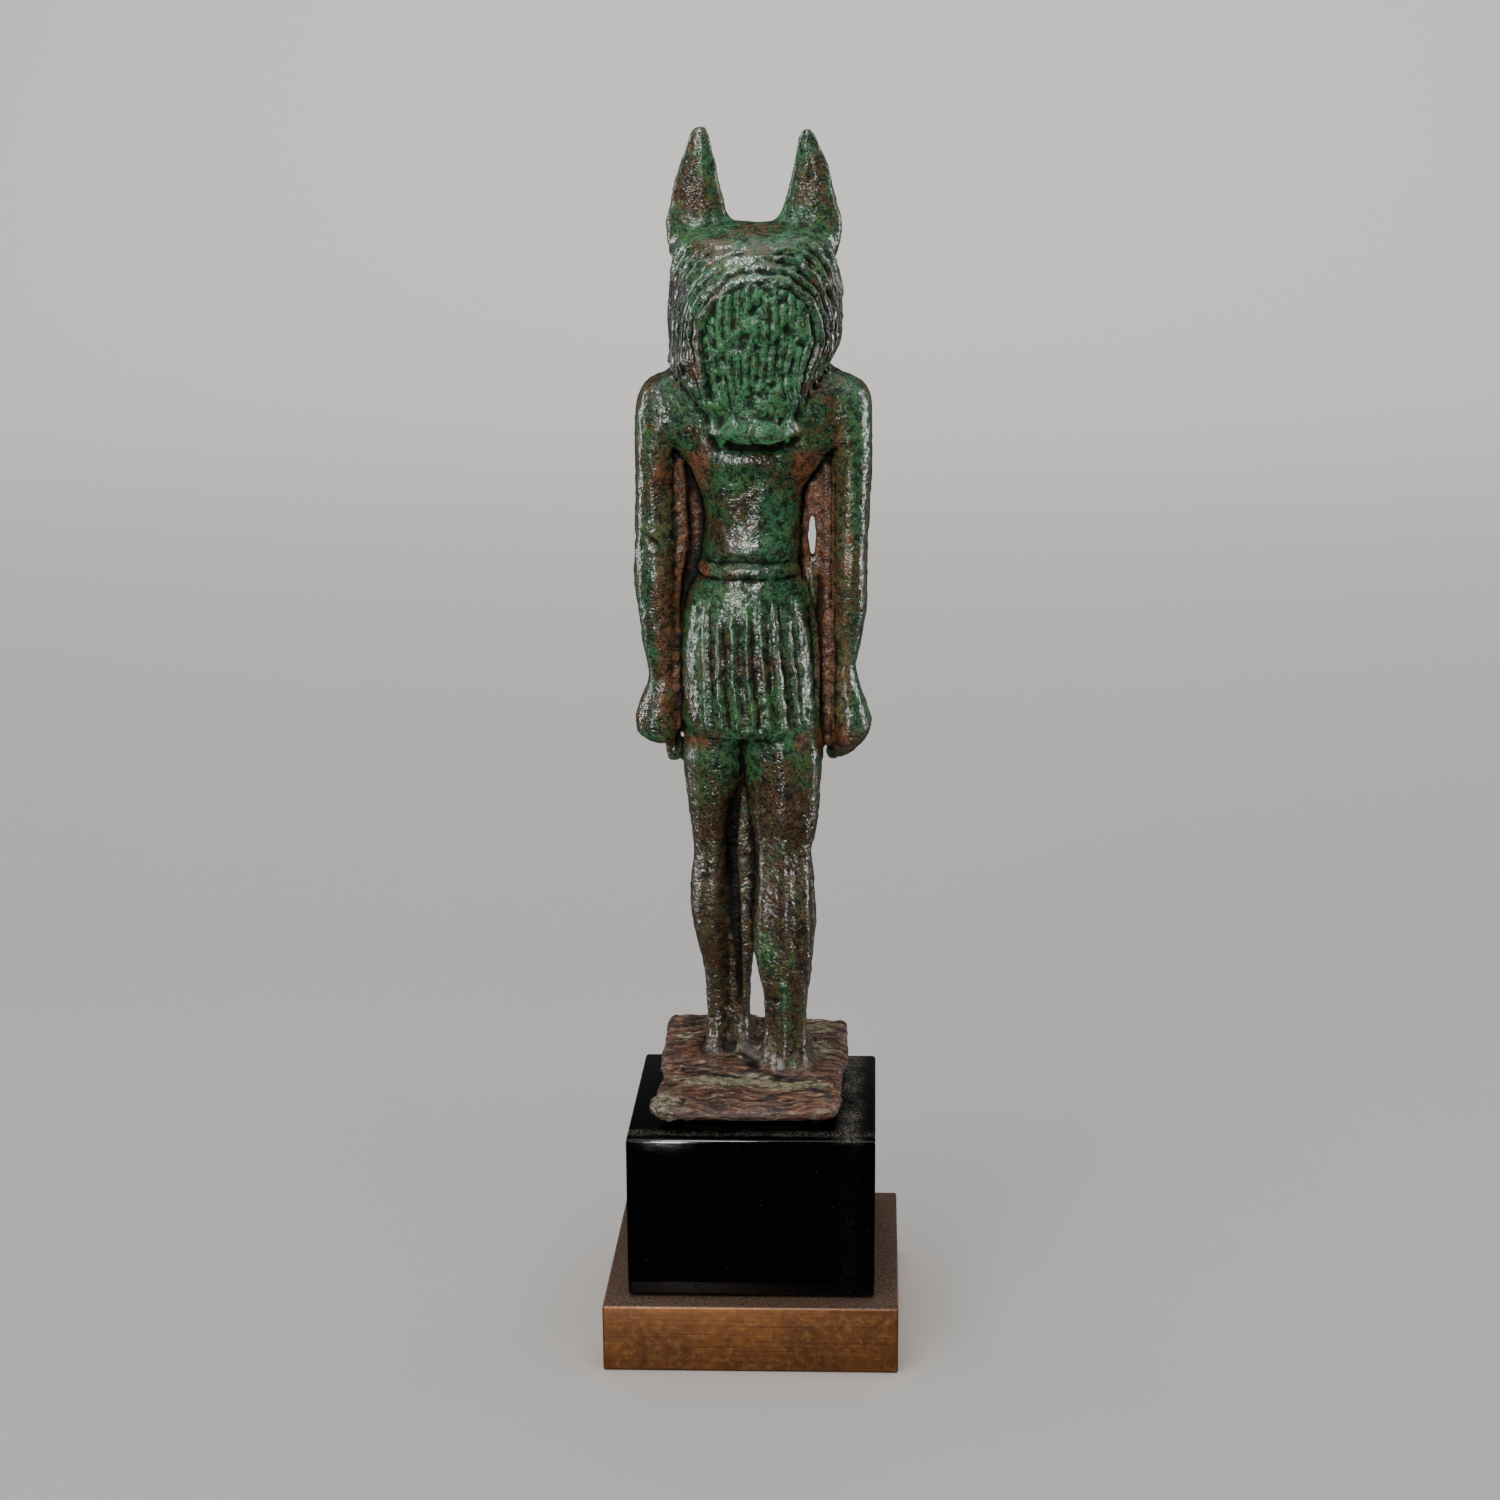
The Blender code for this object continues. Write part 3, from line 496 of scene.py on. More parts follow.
def dab(across, wide, along, high):
    # A soft round spot, 1 in the middle.
    return narrow(np.hypot(across / wide, along / high), 1.0)


def within(values, start, full, fade, end):
    # Rises from start to full, and sinks from fade to end.
    return softStep(values, start, full) * (1 - softStep(values, fade, end))


# The back of the wig: a worn panel of upright locks inside nested arched ones.
# Height, and the panel's left and right edges.
panelTable = np.array([
    (91.0, 4.4, -5.6), (96.3, 4.84, -6.6), (98.4, 5.24, -7.0), (102.4, 6.2, -7.65), (104.7, 6.6, -8.2),
    (108.0, 6.9, -9.3), (112.0, 6.9, -9.5), (125.0, 6.9, -9.5)])
archCentre = 107.8
# Pits in the panel, seen as dark spots: x, height, radius and depth.
pitTable = [
    (-0.4, 112.6, 0.95, 0.5), (1.9, 110.7, 0.7, 0.45), (-3.6, 108.2, 0.75, 0.6),
    (-5.3, 109.9, 0.75, 0.5), (-3.9, 106.2, 0.5, 0.5), (-7.3, 108.2, 0.6, 0.45),
    (-0.6, 106.9, 0.7, 0.35), (4, 103.4, 0.5, 0.3), (-4, 104.6, 0.42, 0.5), (-2.3, 111.5, 0.5, 0.4),
    (4.3, 97.2, 0.8, 0.5), (-4.2, 97.4, 0.35, 0.5), (-3.2, 102.6, 0.4, 0.4), (0.6, 109, 0.5, 0.35),
    (-4.6, 114, 0.5, 0.5), (-6.2, 105.6, 0.4, 0.35)]


def wigLift(points, values):
    x, y, z = points.T
    gap, turn, radius = formField("wig", points)
    onWig = onForm(gap, 0.7, 1.4)
    heights = np.linspace(92.2, 124.3, 120)
    power, step, table = formTables["wig"]
    rows = np.array([stationsAt(table, h) for h in heights])
    left, right = np.interp(z, heights, rows[:, 0]), np.interp(z, heights, rows[:, 1])

    def runTo(edge):
        # the run round the section from the middle of the back to an edge seen from behind
        u = np.clip((edge - (left + right) / 2) / ((left - right) / 2), -0.97, 0.97)
        v = (1 - np.abs(u) ** power) ** (1 / power)
        return np.arctan2(u, v) * radius

    runLeft = runTo(np.interp(z, panelTable[:, 0], panelTable[:, 1]))
    runRight = runTo(np.interp(z, panelTable[:, 0], panelTable[:, 2]))
    halfRun = (runLeft - runRight) / 2
    across = turn * radius - (runLeft + runRight) / 2
    above = np.maximum(z - archCentre, 0.0) * 0.92
    outward = np.hypot(across, above) - halfRun
    wander = cloudy(points, 3.4, 5.0) - 0.5
    worn = softStep(cloudy(points, 2.3, 1.0), 0.34, 0.60)
    inPanel = 1 - softStep(outward, -0.45, 0.15)
    upright = ridges(across * 8.2 / np.maximum(halfRun, 1.0) + wander * 0.8, values["strandPitch"]) ** 0.8
    locks = ridges(outward + wander * 1.7, values["strandPitch"] * 1.16)
    locks = 0.72 * locks + 0.28 * ridges(outward + (cloudy(points, 2.6, 44.0) - 0.5) * 1.5, 0.82)
    # the arched locks stand highest on the right of the crown, and the left is rubbed nearly flat
    crown = softStep(z, 113.0, 115.0)
    relief = 1 - crown * (0.15 - 0.85 * softStep(-x, 0.0, 4.0))
    rolled = within(z, 97.0, 101.0, 120.2, 121.4)
    lift = inPanel * ((upright - 0.75) * values["panelDeep"] * (0.25 + 1.0 * worn)
                      - 0.34 * (1 - worn) * softStep(cloudy(points, 1.2, 33.0), 0.45, 0.62))
    lift += (1 - inPanel) * (locks - 0.55) * values["strandDeep"] * (0.35 + 0.95 * worn) * relief
    sides = 1 - softStep(z, archCentre + 3.0, archCentre + 6.5)
    lift -= values["grooveDeep"] * narrow(outward + 0.15, 0.48) * (0.12 + 0.88 * sides) * (0.7 + 0.5 * worn)
    lift *= rolled
    for pitX, pitZ, size, deep in pitTable:
        lift -= deep * narrow(np.hypot(x - pitX, (z - pitZ) * 0.8), size) * (y > 0)
    # The plain roll along the hem is lumpy, and its lower edge is wavy and undercut.
    roll = (1 - softStep(z, 96.9, 98.0)) * (y > -1.0)
    edge = 93.9 + 0.032 * (x + 0.4) ** 2 + 0.26 * np.cos((x + 0.65) * 1.25)
    lift += roll * (0.30 * narrow(z - 95.9, 1.2) + (cloudy(points, 2.3, 9.0) - 0.5) * 0.9)
    ends = 1 - softStep(np.abs(x + 0.2), 5.0, 6.6)
    under = 0.95 * narrow(z - edge + 0.30, 0.50) + 0.30 * (1 - softStep(z - edge, -0.95, -0.45))
    lift -= roll * ends * under
    # knobs where the ears leave the wig
    for knobX, knobZ in ((6.2, 121.6), (-6.6, 121.9)):
        lift += 0.5 * dab(x - knobX, 2.4, z - knobZ, 0.9) * (y > -2.0)
    return lift * onWig, outward, onWig


def kiltLift(points, values):
    x, y, z = points.T
    gap, turn = formField("kilt", points)[:2]
    onKilt = onForm(gap)
    index = turn * values["pleats"] / (2 * np.pi) + 0.245 - 0.015 * (z - 55)
    index += (cloudy(points, 5.0, 2.0) - 0.5) * 0.55
    nearest = np.round(index)
    off = index - nearest
    topEdge = 70.8 + 1.4 * np.sin(nearest * 2.3) + 0.7 * np.sin(nearest * 5.1)
    fade = within(z, 52.3, 53.2, topEdge - 3.0, topEdge + 0.8)
    # the flanks beside the arms are plain
    fade = fade * (1 - (y > -4.0) * np.maximum(softStep(x, 7.0, 8.2), softStep(-x, 6.3, 7.2)))
    strength = (0.95 + 0.30 * np.sin(nearest * 3.7 + 1.0)) * (0.55 + 0.9 * cloudy(points, 3.0, 13.0))
    crest = narrow(off, 0.10)
    flute = ridges(off, 1.0) * (1 - 0.55 * softStep(off, 0.1, 0.45))
    lift = fade * strength * (values["pleatRidge"] * crest - values["pleatHollow"] * flute)
    apron = (1 - softStep(np.abs(x), 2.9, 3.3)) * (1 - softStep(y, -9.0, -8.0))
    apronLift = 0.5 + 0.12 * (ridges(x, 1.0) - 0.5)
    apronFade = within(z, 52.2, 52.9, 72.0, 73.4)
    lift = lift * (1 - apron) + apron * apronLift * apronFade
    return lift * onKilt, onKilt * fade * (1 - apron) * (crest - 0.9 * flute)


def bodyLift(points):
    x, y, z = points.T
    gap = formField("torso", points)[0]
    back = softStep(y, -3.0, -0.5)
    lift = -0.32 * narrow(x - 0.3, 1.6) * within(z, 79.0, 88, 89, 92) * back
    # shoulder blades, and the full small of the back above the belt
    for side in (1, -1):
        lift += 0.35 * dab(x - side * 6.8, 4.2, z - 90.0, 4.5) * back
    lift += 0.45 * narrow(z - 78.6, 1.5) * narrow(x - 0.3, 6.0) * back
    lift += 0.70 * narrow(z - 91.4, 1.6) * narrow(x, 7.0) * back
    chest = 1 - softStep(y, -9.0, -7.0)
    lift += 0.25 * chest * dab(np.abs(x) - 4.6, 3.4, z - 92.0, 3.0)
    lift -= 0.9 * chest * narrow(np.hypot(x - 0.3, z - 79.2), 0.6)
    # Right web: a round ridge stands between the kilt's edge and the red strip along the arm.
    web = (x < -7.0) * (x > -11.6) * (y > -5.2) * (y < -2.2)
    web = web * within(z, 49.5, 52, 88, 93)
    lift = lift * onForm(gap)
    low = 1 - softStep(z, 73.0, 76.0)
    ridge = low * 0.85 * narrow(x + 8.5, 0.5)
    lift += web * (ridge + 0.25 * softStep(-x, 9.6, 10.4) + low * 0.3 * (x > -8.5))
    return lift


def limbLift(points):
    x, y, z = points.T
    gap = formField("right_leg", points)[0]
    onRight = onForm(gap)
    back = softStep(y, -4.5, -1.5)
    calf = within(z, 11, 22, 28, 39) * (0.5 + cloudy(points, 5.0, 51.0))
    thigh = within(z, 36, 41, 48, 52)
    shin = (1 - softStep(z, 10, 15)) * softStep(z, 1.0, 4)
    lift = np.zeros(len(points))
    # Bands of muscle and the heel cord run up the back of the leg.
    for place, high, wide in ((-0.8, 0.60, 0.9), (-4.85, 0.75, 0.9), (-8.0, 0.60, 0.8)):
        lift += onRight * back * calf * high * (narrow(x - place, wide) - 0.42)
    lift += onRight * back * thigh * 0.36 * (narrow(x + 8.6, 1.1) + narrow(x - 0.4, 1.1)
                                             + narrow(x + 4.4, 1.4) - 0.5)
    lift += onRight * back * shin * 0.55 * (narrow(x + 4.5, 0.8) + narrow(x + 7.2, 0.6)
                                            + narrow(x + 1.6, 0.6) - 0.6)
    lift -= onRight * back * 0.5 * dab(x + 4.4, 3.2, z - 36.0, 1.7)
    onLeft = onForm(formField("left_leg", points)[0])
    behind = softStep(y, -11.0, -7.5)
    valley = 4.75 - 0.045 * z
    run = within(z, 0.0, 2.5, 38, 45)
    lift -= onLeft * behind * 1.2 * narrow(x - valley, 1.8) * run
    lift += onLeft * behind * 0.30 * narrow(x - valley + 2.4, 0.8) * run
    kneeFront = 1 - softStep(y, -12.6, -11.6)
    lift += onLeft * kneeFront * 0.45 * dab(x - 5.5, 2.2, z - 32.0, 2.2)
    front = 1 - softStep(y, -9.0, -7.4)
    lift += onRight * front * 0.45 * dab(x + 4.2, 2.2, z - 33.0, 2.2)
    # Toes with their nails.
    for name, (centreX, heelY) in footPlaces.items():
        along = (heelY - y) / footShare
        inside = (np.abs(x - centreX) < 4.6) * (z < 4.2) * (z > 0.1)
        toes = ridges((x - centreX + 4.0), 1.62)
        lift += inside * softStep(along, 12.4, 14.4) * (along < 19.5) * (0.34 * toes - 0.22)
        lift -= inside * 0.08 * narrow(along - 17.0, 0.5) * (z > 1.0) * toes
    # Fists: the fingers curl under in front, and the thumb lies over them.
    for name, low in (("left_arm", 49.2), ("right_arm", 47.2)):
        onArm = onForm(formField(name, points)[0], 0.5, 1.2)
        fist = 1 - softStep(z, low + 4.0, low + 6.2)
        gaps = narrow(((y + 6.2 + 50.0) % 2.15) - 1.075, 0.30)
        lift -= onArm * fist * 0.34 * gaps * (1 - softStep(y, -5.0, -4.0))
        thumb = narrow(np.abs(x) - 13.4, 1.1) * (1 - softStep(y, -9.6, -8.6))
        lift += onArm * 0.4 * thumb * narrow(z - low - 3.8, 2.4)
        elbow = softStep(y, -3.0, -1.5) * (x > 0)
        crease = narrow((z - 79.6) - (np.abs(x) - 14.0) * 0.6, 0.42) * narrow(np.abs(x) - 14.4, 1.5)
        lift -= onArm * elbow * 0.34 * crease
    return lift


def faceLift(points):
    x, y, z = points.T
    reach = -y
    half, top, low = (np.interp(reach, [row[0] for row in headTable], [row[k] for row in headTable])
                      for k in (1, 2, 3))
    share = (z - low) / (top - low)
    side = np.abs(x)
    onHead = (reach > 12.9) * (z > 104) * (z < 122) * (side < 7.5)
    mouth = narrow(share - 0.36 + 0.012 * (reach - 20), 0.045)
    lift = -0.42 * mouth * softStep(reach, 15.6, 17.0)
    nose = softStep(reach, 23.0, 23.8)
    lift += 0.22 * nose * softStep(share, 0.55, 0.75)
    lift -= 0.5 * narrow(np.hypot(side - 1.15, z - 111.0), 0.42) * nose
    lift -= 0.2 * narrow(x, 0.25) * nose * (share < 0.72) * (share > 0.3)
    # brow, cheek and the rim of the eye
    lift += 0.35 * dab(reach - 13.6, 1.7, z - 116.9, 0.6) * (side > 2.0)
    lift -= 0.25 * narrow(x, 1.0) * narrow(reach - 15.2, 2.0) * softStep(share, 0.7, 0.9)
    lift += 0.4 * dab(reach - 13.6, 2.0, z - 110.4, 2.4) * (side > 2.5)
    eye = np.hypot((reach - 14.3) / 1.05, (z - 115.1) / 0.8)
    lift -= 0.28 * narrow(eye - 1.25, 0.24) * (side > 2.8)
    whiskers = narrow(((z - 109.0 + 20.0) % 0.9) - 0.45, 0.18) * (share > 0.42) * (share < 0.66)
    lift -= 0.07 * whiskers * within(reach, 19.5, 20.5, 22.4, 23.0)
    lift = lift * onHead
    # inner folds of the ears
    for name in ("left_ear", "right_ear"):
        table = formTables[name][2]
        heights = [row[0] for row in table]
        centre = np.interp(z, heights, [(row[1] + row[2]) / 2 for row in table])
        width = np.interp(z, heights, [abs(row[1] - row[2]) / 2 for row in table])
        inEar = (z > 121.0) * (np.abs(x - centre) < width) * (y < -3.6)
        fold = ridges((x - centre) / width * 2.0, 1.0) * (1 - np.abs(x - centre) / width)
        lift += 0.25 * inEar * fold * (1 - softStep(z, 132, 136)) * softStep(z, 121.0, 123.0)
    return lift


def lappetLift(points, values):
    x, y, z = points.T
    lift = np.zeros(len(points))
    for name in ("left_lappet", "right_lappet"):
        onLappet = onForm(formField(name, points)[0]) * (y < -8.5)
        strands = ridges(np.abs(x) - 2.8, values["strandPitch"]) * values["strandDeep"] * 0.8
        band = softStep(z, 87.0, 87.5)
        lift += onLappet * (strands * band + 0.1 * (1 - band) - 0.12 - 0.22 * narrow(z - 87.2, 0.22))
    return lift


def plateLift(points):
    # Layers of corrosion run across the plate; a low step curves from one heel to the other,
    # a ridge runs along the near edge, and the near left corner is crusted.
    x, y, z = points.T
    legGap = np.minimum(formField("left_leg", points)[0], formField("right_leg", points)[0])
    clear = softStep(legGap, 0.6, 2.4)
    onTop = (z > -0.9) * (z < 0.8) * clear
    swirl = np.stack([np.zeros(len(x)), (grain(points, 7.0, 3.0) - 0.5) * 5.0, np.zeros(len(x))], axis=1)
    stretched = (points + swirl) * np.array((0.28, 1.0, 1.6))
    layers = cloudy(stretched, 0.9, 4.0)
    lift = onTop * 0.42 * (layers - 0.5)
    terraces = cloudy(stretched, 2.4, 8.0) * 5.0
    lift += onTop * 0.16 * softStep(terraces - np.floor(terraces), 0.35, 0.65)
    stepLine = 1.4 + 2.2 * np.tanh((4.0 - x) / 5.0)
    lift += onTop * 0.40 * (1 - softStep(y, stepLine - 0.6, stepLine + 0.6)) * softStep(x, -3.5, -1.0)
    lift += onTop * 0.28 * narrow(y - 10.8 + 0.5 * np.sin(x * 0.4), 0.9)
    rim = (z <= 0.2) * (z > -2.4)
    lift += rim * 0.34 * (cloudy(points, 1.7, 6.0) - 0.5)
    corner = narrow(np.hypot(x - 12.4, y - 13.6), 3.4)
    lift += (z > -2.2) * (z < 1.0) * corner * (1.5 * (cloudy(points, 1.1, 12.0) - 0.36))
    return lift * (z > -2.6) * (z < 0.9)


def softenJoins(casting, rounds):
    # Ears grow out of the wig, arms out of the shoulders and heels out of the plate without a crease.
    points, normals, edges = skinOf(casting.data)
    x, y, z = points.T
    wigGap = formField("wig", points)[0]
    ears = 0.6 * softStep(z, 119.5, 121.0) * (1 - 0.9 * softStep(z, 133.0, 136.0)) * (y > -7.5)
    shoulders = within(z, 92.0, 96.0, 103.5, 105.0)
    shoulders = shoulders * softStep(wigGap, 0.5, 1.2) * (y > -8.0)
    heels = within(z, -0.6, 0.3, 5.5, 8.0) * (y > -12.0)
    belowHem = 0.9 * within(z, 89.6, 91.0, 92.9, 93.6) * (y > -3.0) * (np.abs(x) < 8.0)
    share = np.maximum(np.maximum(ears, shoulders), np.maximum(heels, belowHem))
    share = np.clip(share, 0, 1)[:, None]
    points = averaged(points, edges, rounds, share)
    casting.data.vertices.foreach_set("co", points.ravel())
    casting.data.update()


def carve(casting, values):
    mesh = casting.data
    points, normals, edges = skinOf(mesh)
    wig, outward, onWig = wigLift(points, values)
    kilt, pleatTone = kiltLift(points, values)
    lift = wig + kilt + bodyLift(points) + limbLift(points) + faceLift(points) + lappetLift(points, values)
    lift = np.clip(lift, -1.6, 0.9)
    figurePart = softStep(points[:, 2], 0.2, 1.4)
    lift = lift * figurePart + plateLift(points)
    lift += figurePart * values["castUneven"] * (cloudy(points, 2.2, 15.0) - 0.5) * 2
    lift += figurePart * values["castUneven"] * 0.75 * (grain(points, 0.85, 21.0) - 0.5) * 2
    moved = points + normals * lift[:, None]
    mesh.vertices.foreach_set("co", moved.ravel())
    mesh.update()
    return moved, onWig, outward, pleatTone


def addAttribute(mesh, name, values):
    layer = mesh.attributes.new(name, "FLOAT", "POINT")
    layer.data.foreach_set("value", values.astype(np.float32))


# Spots of other colour: x, height, half width, half height and strength.
greenSpots = [
    (-4.95, 7.2, 0.75, 0.9, 1), (-4.2, 12, 0.8, 3.6, 0.45), (-5.4, 18, 0.6, 1.4, 0.7),
    (-1.6, 18.9, 1.5, 2.3, 0.9), (-7, 47, 2, 1.8, 0.5), (0.4, 46.5, 1.2, 2, 0.45), (8, 44, 2, 4, 0.35),
    (0.2, 55.3, 5, 3, 1), (2.5, 70.5, 3.4, 1.6, 0.6), (-13, 57, 1.5, 2, 0.5), (-14.3, 92, 1.4, 6, 0.7),
    (2.6, 88.6, 2.6, 2, 0.6), (5, 99, 1, 2, 0.6)]
brownSpots = [
    (-1.9, 92, 1.3, 0.9, 1), (-11.5, 98, 2.4, 3.2, 0.9), (5.6, 90.5, 2.2, 1.3, 0.8),
    (-7, 90, 1.8, 2.6, 0.8), (9, 95, 2.2, 1.8, 0.8), (8.4, 129, 1.4, 5.5, 0.7),
    (-8.2, 127.5, 2, 4.4, 0.8), (0, 123.4, 4, 0.7, 0.8), (14.5, 55, 2.6, 3, 0.9),
    (-13, 50.5, 2.4, 2, 0.8), (-1.9, 24, 0.9, 1.6, 0.9), (5.6, 82, 2.2, 2.6, 0.45),
    (-2, 60, 5, 4, 0.35), (9.4, 131, 1.5, 4, 0.8), (-9, 130.5, 1.8, 3, 0.9), (14, 101.5, 1.8, 2, 0.6),
    (12.6, 66, 1.2, 5, 0.5)]
# On the plate: x, y, half width, half length and strength of the cream crust, then of the dark stains; the
# two dark spots between the feet are painted shade.
creamSpots = [
    (4.2, 4.2, 6.6, 1.9, 1.3), (-6.4, 5.6, 4.4, 1.5, 1.2), (12.6, 13.4, 2.4, 2.6, 0.8),
    (-9.6, -9.5, 2.6, 3.6, 0.6), (-9, -19, 3, 2.4, 0.7), (11.4, -14, 2, 2.6, 0.4)]
darkSpots = [
    (0, -2.4, 2.6, 2, 1), (0.3, -5.6, 2.6, 3.6, 1), (9.8, -20, 4, 3.4, 0.9), (-3.5, 3.4, 2, 1.6, 0.8),
    (4, 14.5, 5, 1.4, 0.6), (-7, 3.4, 3, 0.9, 0.8), (10.2, 8.4, 2.4, 2, 0.5)]


def spotted(points, spots, rows):
    frayed = 0.35 + 1.3 * cloudy(points, 1.1, 40.0)
    tone = np.zeros(len(points))
    for across, along, wide, high, strength in spots:
        tone += strength * dab(points[:, 0] - across, wide, points[:, rows] - along, high) * frayed
    return np.clip(tone, 0, 1)


def markCasting(casting, values, moved, onWig, outward, pleatTone):
    # Marks on the skin that its finish reads: hollows, coloured spots and where each part lies.
    x, y, z = moved.T
    mesh = casting.data
    points, normals, edges = skinOf(mesh)
    near = averaged(points, edges, values["hollowRounds"])
    wide = averaged(near, edges, values["deepRounds"])
    onWeb = (x < -7.0) * (x > -11.8) * (y > -6.0) * (z > 49) * (z < 78)
    # hollow and deep measure how far each point sinks below its neighbours; the patina uses them as painted
    # shade, darkening grooves and crevices to black
    hollow = np.clip(((near - points) * normals).sum(axis=1) / values["hollow"], -1.0, 1.0)
    addAttribute(mesh, "hollow", hollow)
    deep = np.clip(((wide - points) * normals).sum(axis=1) / values["deep"], -1.0, 1.0)
    addAttribute(mesh, "deep", deep * (1 - 0.8 * onWeb) * (0.62 + 0.38 * softStep(z, 42, 50)))
    legs = (1 - softStep(z, 40, 52)) * softStep(z, 0.3, 1.2)
    shownBack = (y > -9.0) * softStep(z, 0.4, 1.2)
    addAttribute(mesh, "brown", np.clip(legs + 0.9 * spotted(moved, brownSpots, 2) * shownBack, 0, 1.3))
    addAttribute(mesh, "green", spotted(moved, greenSpots, 2) * shownBack)
    onPlate = 1 - softStep(z, 0.4, 1.6)
    between = (np.abs(x) < 2.3) * (y > -10.0) * (1 - softStep(z, 2.6, 3.4))
    legsGap = np.minimum(formField("left_leg", moved)[0], formField("right_leg", moved)[0])
    onPlate = np.maximum(onPlate, between * softStep(legsGap, 0.1, 0.7))
    addAttribute(mesh, "cream", spotted(moved, creamSpots, 1) * onPlate)
    # dark stains on the plate, with painted shade on the plate between the feet
    addAttribute(mesh, "stain", spotted(moved, darkSpots, 1) * onPlate)
    armsGap = np.minimum(formField("left_arm", moved)[0], formField("right_arm", moved)[0])
    bodyGap = np.minimum(formField("torso", moved)[0], formField("kilt", moved)[0])
    webs = softStep(armsGap, -0.3, 0.3) * softStep(bodyGap, 0.1, 0.6)
    webs = webs * (np.abs(x) > 6.0) * (np.abs(x) < 14.0)
    webs = webs * within(z, 48, 51, 94, 98) * (y > -9.0)
    pale = narrow(x + 8.5, 0.7) * (y > -5.0) * (z < 77)
    pale += 0.75 * narrow(x - 11.6, 0.75) * narrow(z - 77, 11.0)
    addAttribute(mesh, "ruddy", np.clip(webs * (1 - 0.85 * pale), 0, 1))
    addAttribute(mesh, "plate", onPlate)
    addAttribute(mesh, "panel", onWig * (1 - softStep(outward, -0.3, 0.5)) * softStep(y, -1.0, 2.0))
    leftBand = softStep(x, 8.2, 9.4) * (1 - softStep(z, 115.5, 118.5)) * softStep(z, 102, 104)
    rightBand = 0.7 * softStep(-x, 9.8, 10.8) * (1 - softStep(z, 114.5, 118.0)) * softStep(z, 105, 108)
    addAttribute(mesh, "locks", onWig * softStep(outward, 0.0, 0.6) * np.maximum(leftBand, rightBand))
    addAttribute(mesh, "lockRun", outward)
    addAttribute(mesh, "pleat", pleatTone)


def thinOut(casting, triangles):
    deselectAll()
    casting.select_set(True)
    bpy.context.view_layer.objects.active = casting
    casting.data.calc_loop_triangles()
    now = len(casting.data.loop_triangles)
    if now > triangles:
        thin = casting.modifiers.new("thin", "DECIMATE")
        thin.ratio = triangles / now
        bpy.ops.object.modifier_apply(modifier=thin.name)


softenJoins(casting, figureValues["joinRounds"])
markCasting(casting, figureValues, *carve(casting, figureValues))
thinOut(casting, figureValues["triangles"])
casting.data.transform(Matrix.Translation((0, 0, plateTop / 1000)) @ Matrix.Scale(0.001, 4))
casting.data.update()
casting.data.calc_loop_triangles()
bpy.ops.object.shade_smooth()
print("the casting is carved:", len(casting.data.loop_triangles), "triangles")


def hexColour(text):
    # sRGB hex to linear
    channels = [int(text[i:i + 2], 16) / 255 for i in (1, 3, 5)]
    linear = [c / 12.92 if c <= 0.04045 else ((c + 0.055) / 1.055) ** 2.4 for c in channels]
    return (*linear, 1.0)


# For each kind of node: its name, the sockets filled in order, its output and its settings.
nodeKinds = {
    "coordinates": ("TexCoord", (), "Object", {}),
    "mark": ("Attribute", (), "Fac", {}),
    "scaled": ("VectorMath", (0, "Scale"), 0, {"operation": "SCALE"}),
    "shifted": ("VectorMath", (0, 1, 2), 0, {"operation": "MULTIPLY_ADD"}),
    "placed": ("Mapping", ("Vector", "Location", "Scale"), 0, {}),
    "split": ("SeparateXYZ", (0,), "Z", {}),
    "channel": ("SeparateColor", (0,), 0, {}),
    "noise": ("TexNoise", ("Vector", "Scale", "Detail", "Roughness", "Distortion"), "Fac", {}),
    "cells": ("TexVoronoi", ("Vector", "Scale"), "Distance", {}),
    "soft": ("MapRange", ("Value", "From Min", "From Max", "To Min", "To Max"), 0,
             {"interpolation_type": "SMOOTHSTEP"}),
    "even": ("MapRange", ("Value", "From Min", "From Max", "To Min", "To Max"), 0, {}),
    "mix": ("Mix", (0, 6, 7), 2, {"data_type": "RGBA"}),
    "bump": ("Bump", ("Height", "Strength", "Distance", "Normal"), 0, {}),
    "glow": ("Background", ("Color", "Strength"), 0, {}),
    "ray": ("LightPath", (), "Is Camera Ray", {}),
    "both": ("MixShader", (0, 1, 2), 0, {}),
}
for operation in ("ADD", "SUBTRACT", "MULTIPLY", "MAXIMUM", "ABSOLUTE", "SINE", "GREATER_THAN"):
    nodeKinds[operation.lower()] = ("Math", (0, 1), 0, {"operation": operation})


def addNode(tree, colours, kind, *inputs, **more):
    # An input is a number, a colour's name or another node's output.
    name, sockets, output, settings = nodeKinds[kind]
    node = tree.nodes.new("ShaderNode" + name)
    for setting, value in {**settings, **more}.items():
        setattr(node, setting, value)
    for socket, item in zip(sockets, inputs):
        if isinstance(item, bpy.types.NodeSocket):
            tree.links.new(item, node.inputs[socket])
        else:
            node.inputs[socket].default_value = hexColour(colours[item]) if isinstance(item, str) else item
    return node.outputs[output]


def startMaterial(name, colours):
    # A new material, its way to add a node, and the object's coordinates in millimetres.
    material = bpy.data.materials.new(name)
    material.use_nodes = True
    node = partial(addNode, material.node_tree, colours)
    return material, node, node("scaled", node("coordinates"), 1000.0)


def feedNode(owner, name, inputs):
    # Fills the sockets of a node that a new material or world comes with.
    node = owner.node_tree.nodes[name]
    for socket, item in inputs.items():
        if isinstance(item, bpy.types.NodeSocket):
            owner.node_tree.links.new(item, node.inputs[socket])
        else:
            node.inputs[socket].default_value = item
    return owner


